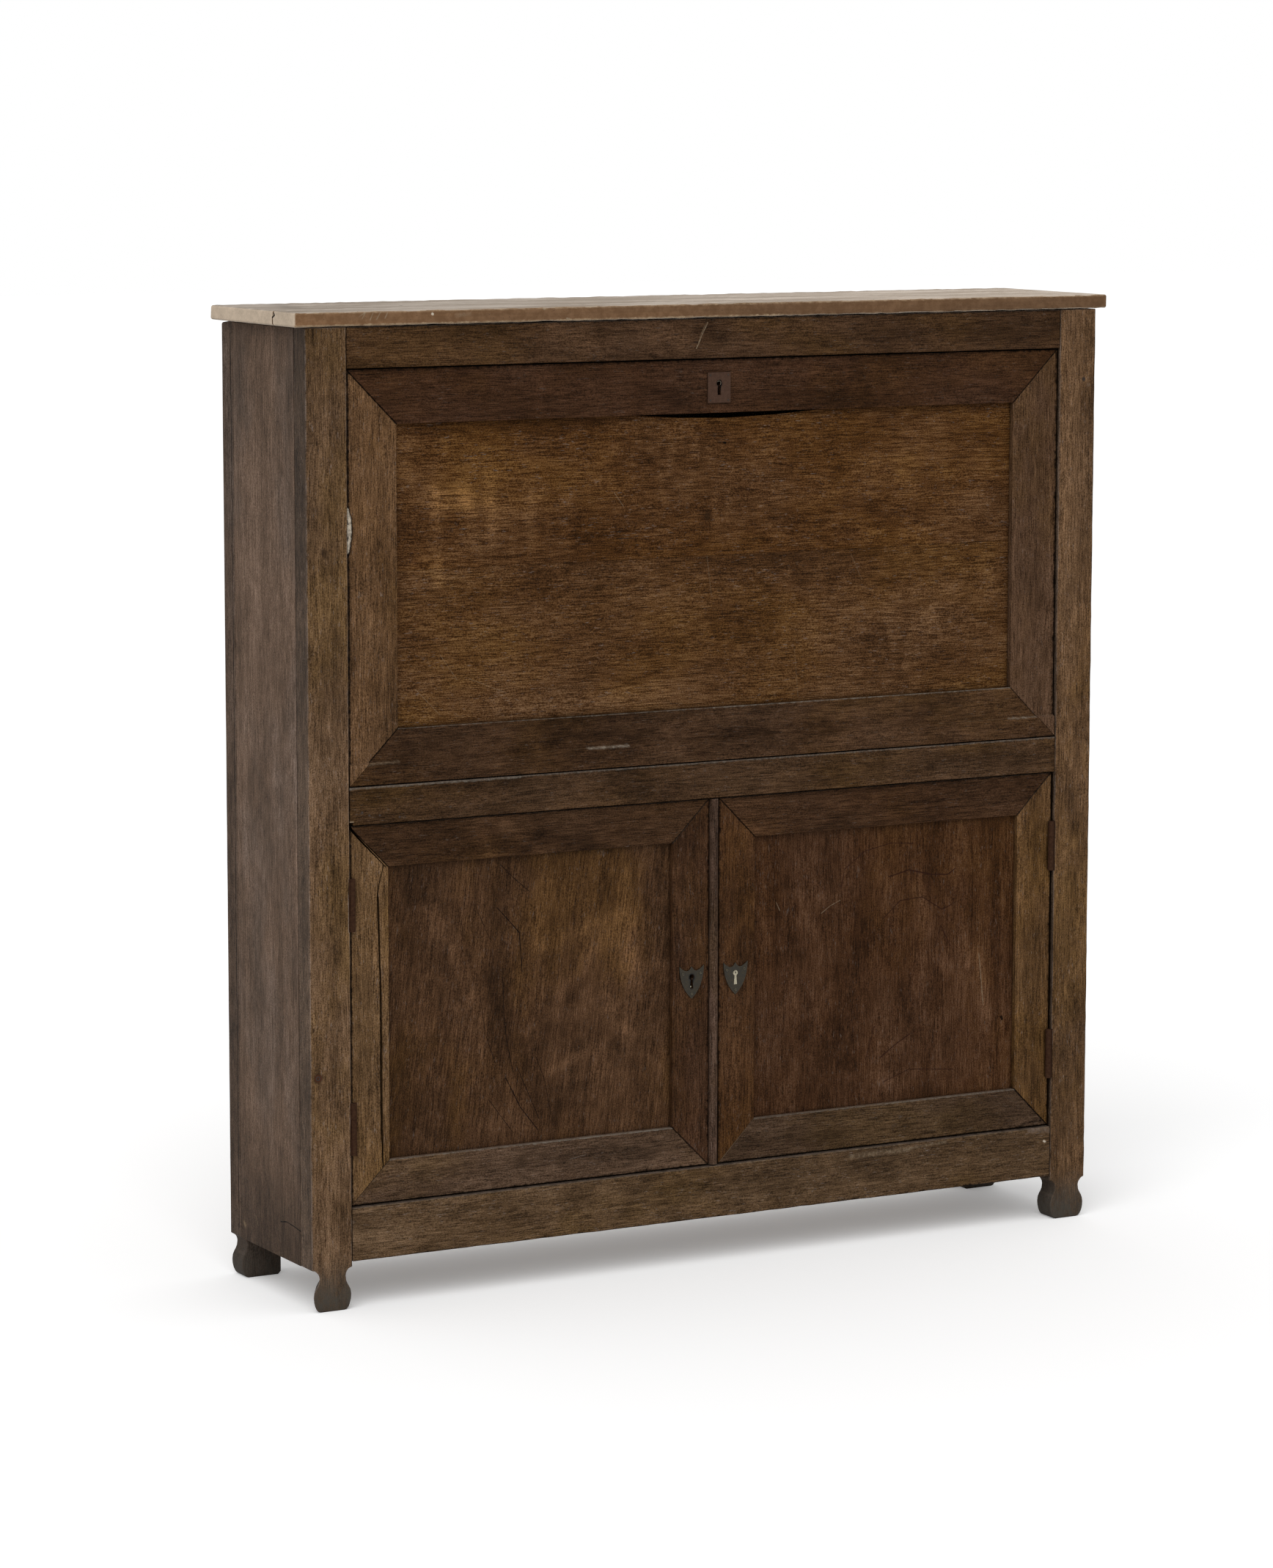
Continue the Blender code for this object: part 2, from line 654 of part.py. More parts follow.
def flap_section():
    """The flap's section: a heel round behind, a band proud of the frame, then the frame."""
    axis = (FLAP_AXIS.y, FLAP_AXIS.z)
    face = FRONT + FLAP_SETBACK
    band = FLAP_LOW + FLAP_BAND_HEIGHT
    heel = arc(axis, HEEL_RADIUS, 0, -math.pi / 2, HEEL_STEPS)
    return [(FLAP_INNER_FACE, FLAP_HIGH)] + heel + [(FRONT, FLAP_LOW), (FRONT, band - FLAP_BAND_SLOPE), (face, band),
                                                    (face, FLAP_HIGH)]


def shrunk_edge():
    """The flap panel's upper edge, hollow where the board has drawn away from the rail."""
    high = FLAP_HIGH - FLAP_FRAME + GROOVE_DEPTH - PANEL_EASE
    depth = SHRINK_DEPTH + GROOVE_DEPTH - PANEL_EASE
    points = []
    for step in range(SHRINK_STEPS):
        share = step / (SHRINK_STEPS - 1)
        x = SHRINK_CENTRE + SHRINK_HALF_WIDTH * (2 * share - 1)
        points.append((x, high - depth * math.sin(math.pi * share) ** 2))
    return points


def keyhole(name, x, z, front, rear, pivot):
    """A cutter with a round head and a flared slot below it."""
    start = math.asin(KEYHOLE_WAIST / 2 / KEYHOLE_RADIUS) - math.pi / 2
    outline = arc((x, z), KEYHOLE_RADIUS, start, math.pi - start, KEYHOLE_STEPS)
    outline += [(x - KEYHOLE_FLARE / 2, z - KEYHOLE_SLOT), (x + KEYHOLE_FLARE / 2, z - KEYHOLE_SLOT)]
    return guide_only(flat_solid(name, outline, front, rear, "Y"), pivot)


def shield_outline(x, low):
    """A shield with three points above and one below."""
    width, height = SHIELD
    scoop = height * SHIELD_SCOOP_SHARE
    turn = width * SHIELD_SCOOP_PLACE_SHARE
    half = [(0, height * SHIELD_CUSP_SHARE)]
    half += bend(half[0], (turn * HANDLE_SHARE, scoop), (turn, scoop), (width / 2, height), SHIELD_STEPS)
    flank = [(width * across, height * up) for across, up in SHIELD_FLANK_SHARES]
    half += bend(half[-1], *flank, (0, 0), SHIELD_STEPS)
    right = [(x + u, low + v) for u, v in half]
    left = [(x - u, low + v) for u, v in half[1:-1]]
    return right + left[::-1]


# Fall flap

def flap_stay(side, pivot):
    """A quadrant stay on the flap's inner face, and the size of its keeper's slot."""
    centre = (FLAP_AXIS.y, FLAP_AXIS.z)
    foot_x, foot_y, foot_z = STAY_FOOT
    x = side * (FLAP_HALF - STAY_INSET)
    foot_front = FLAP_INNER_FACE + JOINT_GAP
    root = math.asin((foot_front + foot_y / 2 - FLAP_AXIS.y) / STAY_RADIUS)
    inner_stop = STAY_RADIUS - STAY_STOP_WIDTH / 2
    keeper_rear = POST_REAR + JOINT_GAP + KEEPER_THICKNESS
    stop = FLAP_OPEN + math.asin((keeper_rear + JOINT_GAP - FLAP_AXIS.y) / inner_stop)
    tail = stop + STAY_STOP_LENGTH / STAY_RADIUS
    up = math.pi / 2
    half, stop_half = STAY_WIDTH / 2, STAY_STOP_WIDTH / 2
    outline = arc(centre, STAY_RADIUS + half, up - root, up - stop, STAY_STEPS)
    outline += arc(centre, STAY_RADIUS + stop_half, up - stop, up - tail, 1)
    outline += arc(centre, STAY_RADIUS - stop_half, up - tail, up - stop, 1)
    outline += arc(centre, STAY_RADIUS - half, up - stop, up - root, STAY_STEPS)
    name = f"flap_stay_{side_name(side)}"
    stay = finish(flat_solid(name, outline, x - STAY_THICKNESS / 2, x + STAY_THICKNESS / 2, "X"), IRON)
    foot_centre = FLAP_AXIS.z + STAY_RADIUS * math.cos(root)
    foot = guide_box(name + "_foot", (x - foot_x / 2, foot_front, foot_centre - foot_z / 2),
                     (x + foot_x / 2, foot_front + foot_y, foot_centre + foot_z / 2), pivot)
    join(stay, foot)
    return hang(stay, pivot)


def stay_keeper(side):
    """The plate on the back of a front post that the stay slides through."""
    x = side * (FLAP_HALF - STAY_INSET)
    front = POST_REAR + JOINT_GAP
    rear = front + KEEPER_THICKNESS
    half = STAY_WIDTH / 2 + KEEPER_EASE
    near, far = front - FLAP_AXIS.y, rear - FLAP_AXIS.y
    low = FLAP_AXIS.z + math.sqrt((STAY_RADIUS - half) ** 2 - far ** 2)
    high = FLAP_AXIS.z + math.sqrt((STAY_RADIUS + half) ** 2 - near ** 2)
    left, right = sorted((x - side * KEEPER_MARGIN, x + side * (KEEPER_REACH + KEEPER_MARGIN)))
    name = f"stay_keeper_{side_name(side)}"
    plate = finish(box(name, (left, front, low - KEEPER_MARGIN), (right, rear, high + KEEPER_MARGIN)), IRON)
    slot_half = STAY_THICKNESS / 2 + KEEPER_EASE
    slot = guide_box(name + "_slot", (x - slot_half, front - OVERRUN, low), (x + slot_half, rear + OVERRUN, high))
    return cut(plate, slot)


def stay_slot(side, bed):
    """The slot in the writing bed that a stay's tail drops through."""
    x = side * (FLAP_HALF - STAY_INSET)
    half_x = STAY_THICKNESS / 2 + STAY_SLOT_EASE
    reach = STAY_STOP_WIDTH / 2 + STAY_SLOT_EASE
    height = max(BED_TOP - FLAP_AXIS.z, FLAP_AXIS.z - BED_LOW)
    nearest = math.sqrt((STAY_RADIUS - reach) ** 2 - height ** 2)
    slot = guide_box(f"stay_slot_{side_name(side)}", (x - half_x, FLAP_AXIS.y + nearest, BED_LOW - OVERRUN),
                     (x + half_x, FLAP_AXIS.y + STAY_RADIUS + reach, BED_TOP + OVERRUN))
    cut(bed, slot)


def flap_pin(side, members, post_here, pivot):
    """An iron pin in the flap's lower corner that turns in the post."""
    tip = POST_FACE + FLAP_PIN_IN_POST
    root = FLAP_HALF - FLAP_PIN_IN_FLAP
    name = f"flap_pin_{side_name(side)}"
    low, high = sorted((side * root, side * tip))
    pin = finish(cylinder(name, FLAP_PIN_RADIUS, low, high, FLAP_AXIS, "X"), IRON)
    ease = JOINT_GAP
    low, high = sorted((side * (root - ease), side * (tip + ease)))
    bore = cylinder(name + "_bore", FLAP_PIN_RADIUS + ease, low, high, FLAP_AXIS, "X")
    guide_only(bore, pivot)
    cut(members["bottom_rail"], bore)
    cut(members[f"{side_name(side)}_stile"], bore)
    cut(post_here, bore)
    return hang(pin, pivot)


def flap_lock(members, top_rail, pivot):
    """The plate, case and bolt of the flap's lock, which bolts up into the top rail."""
    face = FRONT + FLAP_SETBACK
    keyhole_z = FLAP_HIGH - FLAP_KEYHOLE_BELOW_TOP
    width, height = FLAP_PLATE
    middle = keyhole_z - KEYHOLE_SLOT / 2 + KEYHOLE_RADIUS / 2
    front = face - JOINT_GAP - PLATE_THICKNESS
    plate = box("flap_keyhole_plate", (FLAP_LOCK_X - width / 2, front, middle - height / 2),
                (FLAP_LOCK_X + width / 2, face - JOINT_GAP, middle + height / 2))
    hang(finish(plate, COPPER_BROWN), pivot)

    case_x, case_y, case_z = FLAP_CASE
    case_front = FLAP_INNER_FACE - case_y
    case = box("flap_lock_case", (FLAP_LOCK_X - case_x / 2, case_front, FLAP_HIGH - case_z),
               (FLAP_LOCK_X + case_x / 2, FLAP_INNER_FACE, FLAP_HIGH))
    hang(finish(case, IRON), pivot)
    room = case_x / 2 + JOINT_GAP
    recess = guide_box("flap_lock_recess",
                       (FLAP_LOCK_X - room, case_front - JOINT_GAP, FLAP_HIGH - case_z - JOINT_GAP),
                       (FLAP_LOCK_X + room, FLAP_INNER_FACE + OVERRUN, FLAP_HIGH + OVERRUN), pivot)
    cut(members["top_rail"], recess)

    hole = keyhole("flap_keyhole", FLAP_LOCK_X, keyhole_z, front - OVERRUN, case_front + KEY_POCKET, pivot)
    for piece in (plate, members["top_rail"], case):
        cut(piece, hole)

    bolt_x, bolt_y, bolt_z = FLAP_BOLT
    bolt_front = FLAP_INNER_FACE - (case_y - KEY_POCKET) / 2 - bolt_y / 2
    high = FLAP_HIGH - BOLT_SETBACK
    low = high - bolt_z
    bolt = box("flap_bolt", (FLAP_LOCK_X - bolt_x / 2, bolt_front, low),
               (FLAP_LOCK_X + bolt_x / 2, bolt_front + bolt_y, high))
    axis = axis_empty("flap_bolt_slide", (FLAP_LOCK_X, bolt_front + bolt_y / 2, high), pivot)
    hang(finish(bolt, IRON), axis)
    ease = BOLT_EASE
    left, right = FLAP_LOCK_X - bolt_x / 2 - ease, FLAP_LOCK_X + bolt_x / 2 + ease
    near, far = bolt_front - ease, bolt_front + bolt_y + ease
    cut(case, guide_box("flap_bolt_slot", (left, near, low - ease), (right, far, FLAP_HIGH + OVERRUN), pivot))
    strike_high = high + BOLT_THROW + ease
    cut(top_rail, guide_box("flap_bolt_strike", (left, near, TOP_RAIL_LOW - OVERRUN), (right, far, strike_high)))


def fall_flap(front_posts, top_rail, bed):
    pivot = axis_empty("flap_axis", FLAP_AXIS)
    leaf = Leaf("flap", -FLAP_HALF, FLAP_HALF, FLAP_LOW, FLAP_HIGH, FRONT + FLAP_SETBACK, FLAP_INNER_FACE,
                FLAP_FRAME, FRONT + FLAP_SETBACK + FLAP_PANEL_SETBACK,
                FRONT + FLAP_SETBACK + FLAP_PANEL_SETBACK + FLAP_PANEL_THICKNESS, pivot)
    members = mitred_frame(leaf, flap_section(), FRONT_OAK)
    panel_board(leaf, FLAP_OAK, "lower_panel", high=FLAP_PANEL_JOINT - JOINT_GAP)
    panel_board(leaf, FLAP_OAK, "upper_panel", low=FLAP_PANEL_JOINT, top_edge=shrunk_edge())
    for side in (-1, 1):
        flap_pin(side, members, front_posts[side], pivot)
        flap_stay(side, pivot)
        stay_keeper(side)
        stay_slot(side, bed)
    flap_lock(members, top_rail, pivot)


# Doors and their hinges

def knuckle_part(name, radius, low, high):
    return guide_only(cylinder(name, radius, low, high, (0, 0, 0)))


def leaf_plate(name, near, far, front):
    return box(name, (near, front, -HINGE_HEIGHT / 2), (far, LEAF_DEPTH, HINGE_HEIGHT / 2))


def hinge_meshes():
    """The two leaves of a butt hinge, its axis on Z, for a post on the left of the axis."""
    post_plane = HINGE_AXIS_X - POST_FACE
    door_plane = HINGE_AXIS_X - DOOR_OUTER
    half = HINGE_HEIGHT / 2
    moving_half = MOVING_KNUCKLE / 2
    fixed_start = moving_half + JOINT_GAP
    web_half = WEB_THICKNESS / 2

    fixed = leaf_plate("fixed_leaf", post_plane - LEAF_THICKNESS, post_plane, -web_half)
    for label, low, high in (("upper", fixed_start, half), ("lower", -half, -fixed_start)):
        web = guide_box(f"fixed_web_{label}", (post_plane - LEAF_THICKNESS / 2, -web_half, low), (0, web_half, high))
        join(fixed, web, knuckle_part(f"fixed_knuckle_{label}", KNUCKLE_RADIUS, low, high))
    join(fixed, knuckle_part("hinge_pin", HINGE_PIN_RADIUS, -half + WEB_THICKNESS, half - WEB_THICKNESS))

    face = DOOR_FACE - HINGE_AXIS_Y
    moving = leaf_plate("moving_leaf", door_plane, door_plane + LEAF_THICKNESS, face)
    web = guide_box("moving_web", (door_plane, 0, -moving_half),
                    (door_plane + LEAF_THICKNESS, face + web_half, moving_half))
    join(moving, web, knuckle_part("moving_knuckle", KNUCKLE_RADIUS, -moving_half, moving_half))
    cut(moving, knuckle_part("pin_bore", HINGE_PIN_RADIUS + JOINT_GAP, -half, half))

    meshes = {"fixed": evaluated_mesh(fixed), "moving": evaluated_mesh(moving)}
    meshes["fixed"].transform(fixed.matrix_world)
    meshes["moving"].transform(moving.matrix_world)
    for guide in list(CUTTERS.objects):
        if guide.name.startswith(("fixed_", "moving_", "hinge_pin", "pin_bore")):
            bpy.data.objects.remove(guide)
    bpy.data.objects.remove(fixed)
    bpy.data.objects.remove(moving)
    return meshes


def door_hinge(side, level, height, meshes, post_here, stile, pivot):
    """Hang one hinge, let into the post and into the door's edge."""
    label = f"{side_name(side)}_{level}"
    turn = Matrix.Identity(4) if side < 0 else Matrix.Rotation(math.pi, 4, "Y")
    place = Matrix.Translation((side * HINGE_AXIS_X, HINGE_AXIS_Y, height)) @ turn
    for kind, parent in (("fixed", None), ("moving", pivot)):
        leaf = bpy.data.objects.new(f"hinge_{kind}_{label}", meshes[kind].copy())
        PARTS.objects.link(leaf)
        leaf.matrix_world = place
        hang(finish(leaf, IRON), parent)
    low = height - HINGE_HEIGHT / 2 - JOINT_GAP
    high = height + HINGE_HEIGHT / 2 + JOINT_GAP
    rear = HINGE_AXIS_Y + LEAF_DEPTH + JOINT_GAP
    depth = LEAF_THICKNESS + JOINT_GAP
    left, right = sorted((side * (POST_FACE - OVERRUN), side * (POST_FACE + depth)))
    cut(post_here, guide_box(f"post_recess_{label}", (left, FRONT - OVERRUN, low), (right, rear, high)))
    left, right = sorted((side * (DOOR_OUTER + OVERRUN), side * (DOOR_OUTER - depth)))
    cut(stile, guide_box(f"door_recess_{label}", (left, DOOR_FACE - OVERRUN, low), (right, rear, high), pivot))


def door_section():
    return [(DOOR_FACE, DOOR_LOW), (DOOR_FACE, DOOR_HIGH), (DOOR_REAR, DOOR_HIGH), (DOOR_REAR, DOOR_LOW)]


def escutcheon(name, x, pivot):
    width, height = SHIELD
    low = DOOR_KEYHOLE_HEIGHT - height * SHIELD_KEYHOLE_SHARE
    rear = DOOR_FACE - JOINT_GAP
    plate = flat_solid(name, shield_outline(x, low), rear - PLATE_THICKNESS, rear, "Y")
    return hang(finish(plate, BRONZE), pivot)


def meeting_bead(pivot):
    """The half-round bead along the left door's meeting edge."""
    radius = (BEAD_WIDTH - JOINT_GAP) / 2
    centre = (BEAD_RIGHT - radius, FRONT + radius)
    plan = arc(centre, radius, -math.pi, 0, BEAD_STEPS)
    plan += [(BEAD_RIGHT, DOOR_REAR), (BEAD_LEFT + JOINT_GAP, DOOR_REAR)]
    return hang(finish(flat_solid("meeting_bead", plan, DOOR_LOW, DOOR_HIGH, "Z"), DOOR_OAK), pivot)


def door_lock(left_members, right_members, pivots):
    """The left door's lock: its bolt runs through the bead into the right door."""
    left_pivot, right_pivot = pivots[-1], pivots[1]
    stile = left_members["right_stile"]
    bead = meeting_bead(left_pivot)
    plate = escutcheon("left_escutcheon", -DOOR_LOCK_X, left_pivot)
    case_x, case_y, case_z = DOOR_CASE
    case_front = DOOR_REAR - case_y
    middle = DOOR_KEYHOLE_HEIGHT - KEYHOLE_SLOT / 2
    low, high = middle - case_z / 2, middle + case_z / 2
    case = box("door_lock_case", (BEAD_LEFT - case_x, case_front, low), (BEAD_LEFT, DOOR_REAR, high))
    hang(finish(case, IRON), left_pivot)
    recess = guide_box("door_lock_recess",
                       (BEAD_LEFT - case_x - JOINT_GAP, case_front - JOINT_GAP, low - JOINT_GAP),
                       (BEAD_LEFT + OVERRUN, DOOR_REAR + OVERRUN, high + JOINT_GAP), left_pivot)
    cut(stile, recess)
    front = DOOR_FACE - PLATE_THICKNESS - OVERRUN
    hole = keyhole("left_keyhole", -DOOR_LOCK_X, DOOR_KEYHOLE_HEIGHT, front, case_front + KEY_POCKET, left_pivot)
    for piece in (plate, stile, case):
        cut(piece, hole)

    bolt_x, bolt_y, bolt_z = DOOR_BOLT
    bolt_front = DOOR_REAR - (case_y - KEY_POCKET) / 2 - bolt_y / 2
    tip = BEAD_RIGHT - BOLT_SETBACK
    root = tip - bolt_x
    bolt = box("door_bolt", (root, bolt_front, middle - bolt_z / 2), (tip, bolt_front + bolt_y, middle + bolt_z / 2))
    axis = axis_empty("door_bolt_slide", (tip, bolt_front + bolt_y / 2, middle), left_pivot)
    hang(finish(bolt, IRON), axis)
    ease = BOLT_EASE
    near, far = bolt_front - ease, bolt_front + bolt_y + ease
    low, high = middle - bolt_z / 2 - ease, middle + bolt_z / 2 + ease
    slot = guide_box("door_bolt_slot", (root - ease, near, low), (BEAD_RIGHT + OVERRUN, far, high), left_pivot)
    cut(case, slot)
    cut(bead, slot)
    strike = guide_box("door_bolt_strike", (RIGHT_DOOR_EDGE - OVERRUN, near, low),
                         (tip + DOOR_BOLT_THROW + ease, far, high), right_pivot)
    cut(right_members["left_stile"], strike)


def tower_bolt(middle_rail, right_members, pivot):
    """The upright bolt inside the right door, which holds it to the middle rail."""
    plate = escutcheon("right_escutcheon", DOOR_LOCK_X, pivot)
    front = DOOR_FACE - PLATE_THICKNESS - OVERRUN
    hole = keyhole("right_keyhole", DOOR_LOCK_X, DOOR_KEYHOLE_HEIGHT, front, DOOR_FACE + KEY_POCKET, pivot)
    cut(plate, hole)
    cut(right_members["left_stile"], hole)

    guide_x, guide_y, guide_z = TOWER_GUIDE
    near = DOOR_REAR + JOINT_GAP
    high = DOOR_LIP - TOWER_GUIDE_DROP
    guide = box("tower_bolt_guide", (TOWER_X - guide_x / 2, near, high - guide_z),
                (TOWER_X + guide_x / 2, near + guide_y, high))
    hang(soften(finish(guide, IRON)), pivot)
    bolt_x, bolt_y, bolt_z = TOWER_BOLT
    bolt_front = near + (guide_y - bolt_y) / 2
    top = DOOR_LIP - TOWER_TOP_GAP
    bolt = box("tower_bolt", (TOWER_X - bolt_x / 2, bolt_front, top - bolt_z),
               (TOWER_X + bolt_x / 2, bolt_front + bolt_y, top))
    axis = axis_empty("tower_bolt_slide", (TOWER_X, bolt_front + bolt_y / 2, top), pivot)
    hang(finish(bolt, IRON), axis)
    knob_x, knob_y, knob_z = TOWER_KNOB
    knob = guide_box("tower_knob", (TOWER_X - knob_x / 2, bolt_front, top - bolt_z),
                     (TOWER_X + knob_x / 2, bolt_front + knob_y, top - bolt_z + knob_z), axis)
    join(bolt, knob)
    ease = BOLT_EASE
    left, right = TOWER_X - bolt_x / 2 - ease, TOWER_X + bolt_x / 2 + ease
    front, rear = bolt_front - ease, bolt_front + bolt_y + ease
    run = guide_box("tower_bolt_run", (left, front, high - guide_z - OVERRUN), (right, rear, high + OVERRUN), pivot)
    cut(guide, run)
    strike_high = top + TOWER_THROW + ease
    cut(middle_rail, guide_box("tower_bolt_strike", (left, front, DOOR_LIP - OVERRUN), (right, rear, strike_high)))


def doors(front_posts, middle_rail):
    meshes = hinge_meshes()
    pivots, leaves = {}, {}
    for side, left, right in ((-1, -DOOR_OUTER, BEAD_LEFT), (1, RIGHT_DOOR_EDGE, DOOR_OUTER)):
        name = f"{side_name(side)}_door"
        pivot = axis_empty(f"{name}_axis", (side * HINGE_AXIS_X, HINGE_AXIS_Y, 0))
        leaf = Leaf(name, left, right, DOOR_LOW, DOOR_HIGH, DOOR_FACE, DOOR_REAR, DOOR_FRAME,
                    DOOR_FACE + DOOR_PANEL_SETBACK, DOOR_FACE + DOOR_PANEL_SETBACK + DOOR_PANEL_THICKNESS, pivot)
        members = mitred_frame(leaf, door_section(), DOOR_OAK)
        panel_board(leaf, DOOR_OAK)
        outer_stile = members[f"{side_name(side)}_stile"]
        for level, height in (("upper", DOOR_HIGH - HINGE_INSET), ("lower", DOOR_LOW + HINGE_INSET)):
            door_hinge(side, level, height, meshes, front_posts[side], outer_stile, pivot)
        pivots[side] = pivot
        leaves[side] = members
    door_lock(leaves[-1], leaves[1], pivots)
    tower_bolt(middle_rail, leaves[1], pivots[1])


def main():
    clear_scene()
    shaped = foot_edge()
    straight = [(0, FOOT_INNER_ROUNDING), (FOOT_INNER_ROUNDING, 0)]
    front_posts = {side: post(f"front_post_{side_name(side)}", side, FRONT, POST_REAR, shaped, FRONT_OAK)
                   for side in (-1, 1)}
    back_posts = {side: post(f"back_post_{side_name(side)}", side, BACK_POST_FRONT, BACK, straight, SIDE_OAK)
                  for side in (-1, 1)}
    tops = post_top_cutter()
    for side in (-1, 1):
        cut(front_posts[side], foot_taper(side))
        cut(back_posts[side], tops)
    panels = {side: side_panel(side, (front_posts[side], back_posts[side])) for side in (-1, 1)}
    top_rail = rail("top_rail", top_rail_outline(), TOP_RAIL_LOW, CARCASE_TOP, front_posts)
    middle_rail = rail("middle_rail", middle_rail_outline(), MIDDLE_RAIL_LOW, MIDDLE_RAIL_HIGH, front_posts)
    rail("bottom_rail", bottom_rail_outline(), BOTTOM_RAIL_LOW, BOTTOM_RAIL_HIGH, front_posts)
    side = OUTER + TOP_SIDE_OVERHANG
    top = box("top_board", (-side, FRONT - TOP_FRONT_OVERHANG, CARCASE_TOP + JOINT_GAP),
              (side, BACK, CARCASE_TOP + TOP_THICKNESS))
    soften(finish(top, TOP_PINE), TOP_ARRIS)
    bed = inner_board("writing_bed", BED_LOW, BED_TOP, SHOULDER + JOINT_GAP, panels)
    inner_board("cupboard_floor", FLOOR_TOP - FLOOR_THICKNESS, FLOOR_TOP, FRONT + RAIL_DEPTH + JOINT_GAP, panels)
    inner_board("cupboard_shelf", CUPBOARD_SHELF_TOP - SHELF_THICKNESS, CUPBOARD_SHELF_TOP,
                FRONT + CUPBOARD_SHELF_FRONT, panels)
    inner_board("desk_shelf", DESK_SHELF_TOP - SHELF_THICKNESS, DESK_SHELF_TOP, FRONT + DESK_SHELF_FRONT, panels)
    dividers()
    back_boards()
    fall_flap(front_posts, top_rail, bed)
    doors(front_posts, middle_rail)
    even_shading()


main()
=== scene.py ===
"""Looks for the worn fall-front cabinet: aged oak, a bare pale top, dull metal."""

import json
import math
from dataclasses import dataclass
from functools import reduce

import bmesh
import bpy
from mathutils import Matrix, Vector, noise


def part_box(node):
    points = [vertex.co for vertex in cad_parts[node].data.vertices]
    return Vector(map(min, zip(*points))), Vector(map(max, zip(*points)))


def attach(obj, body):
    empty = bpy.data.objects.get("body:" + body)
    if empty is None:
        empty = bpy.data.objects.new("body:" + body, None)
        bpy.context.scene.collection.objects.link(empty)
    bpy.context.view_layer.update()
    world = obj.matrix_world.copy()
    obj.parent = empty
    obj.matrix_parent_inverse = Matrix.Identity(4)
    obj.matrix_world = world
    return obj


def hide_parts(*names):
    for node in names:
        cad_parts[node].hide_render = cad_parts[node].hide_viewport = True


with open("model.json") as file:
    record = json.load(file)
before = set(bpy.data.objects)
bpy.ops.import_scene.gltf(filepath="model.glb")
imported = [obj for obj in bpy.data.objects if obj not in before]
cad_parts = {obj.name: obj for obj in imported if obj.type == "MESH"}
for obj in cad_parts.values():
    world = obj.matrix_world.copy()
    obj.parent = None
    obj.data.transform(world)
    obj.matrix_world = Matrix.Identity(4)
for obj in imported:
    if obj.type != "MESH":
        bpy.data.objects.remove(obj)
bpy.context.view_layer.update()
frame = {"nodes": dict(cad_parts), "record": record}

NODES = frame["nodes"]
BODY_OF = {node: body for body, members in frame["record"]["behaviour"]["bodies"].items() for node in members}
SLOT_OF = {part["node"]: part["material_slot"] for part in frame["record"]["subparts"]}

# The photograph's camera, in metres and degrees
CAMERA_PLACE = (-3.344, -5.9697, 1.6047)
CAMERA_TURN = 28.87
CAMERA_DIP = 7.95
CAMERA_ROLL = 0.07
LENS_MM = 114.9
SENSOR_MM = 36.0

# Light
WORLD_LEVEL = 0.62
SUN_LEVEL = 1.25
SUN_FROM = (-0.62, -0.75, 0.95)
SUN_SOFTNESS = 50
FLOOR_GLOW = 0.19
FLOOR_SIZE = 60


def across(node):
    """The low and high x of a node."""
    low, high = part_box(node)
    return low[0], high[0]


def upward(node):
    """The low and high z of a node."""
    low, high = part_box(node)
    return low[2], high[2]


def middle(node):
    return [(bottom + top) / 2 for bottom, top in zip(*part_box(node))]


# Planes and edges of the cabinet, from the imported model
POST_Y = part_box("front_post_left")[0][1]
DOOR_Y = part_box("left_door_top_rail")[0][1]
PANEL_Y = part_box("left_door_panel")[0][1]
FLAP_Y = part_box("flap_keyhole_plate")[1][1]
FLAP_PANEL_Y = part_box("flap_lower_panel")[0][1]
SIDE_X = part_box("side_panel_left")[0][0]
SIDE_FRONT, SIDE_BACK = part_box("side_panel_left")[0][1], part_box("side_panel_left")[1][1]
TOP_END_X, TOP_FRONT, UNDER_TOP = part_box("top_board")[0]
TOP_Z = upward("top_board")[1]
OPENING_LEFT, OPENING_RIGHT = across("front_post_left")[1], across("front_post_right")[0]
APRON_TOP = upward("bottom_rail")[1]
FLAP_FOOT_GAP, BAND_RISE = 0.0016, 0.0295
MIDDLE_TOP = upward("flap_bottom_rail")[0] - FLAP_FOOT_GAP
BAND_EDGE = upward("flap_bottom_rail")[0] + BAND_RISE


def linear(red, green, blue):
    """A colour as the eye reads it, from 0 to 255, as Blender's own values."""
    shades = [value / 255 for value in (red, green, blue)]
    return tuple(s / 12.92 if s <= 0.04045 else ((s + 0.055) / 1.055) ** 2.4 for s in shades) + (1.0,)


# Colours of marks
BLACK = linear(6, 4, 3)
CRACK = linear(24, 16, 11)
SHADOW = linear(34, 24, 16)
RED_BROWN = linear(42, 22, 15)
PEG = linear(78, 47, 33)
SOIL = linear(72, 68, 62)
DUST = linear(112, 97, 86)
LEDGE_DUST = linear(116, 108, 98)
PALE = linear(128, 108, 84)
SCUFF = linear(140, 122, 100)
EDGE_CREAM = linear(176, 152, 122)
WHITE = linear(196, 184, 166)
DARKEST_SUM = 0.1

SOIL_TOP = 0.085
MOST_WOBBLE = 0.004
SMUDGE_FORCE = 1.15


@dataclass
class Mark:
    """A stroke drawn on a surface: its points in metres, its width and how strong it is."""
    points: list
    width: float
    colour: tuple
    strength: float = 1.0
    soft: float = 0.5
    patchy: float = 0.0


@dataclass
class Smudge:
    """A soft patch along a line of points, lighter or darker than the wood by its change."""
    points: list
    width: float
    change: float


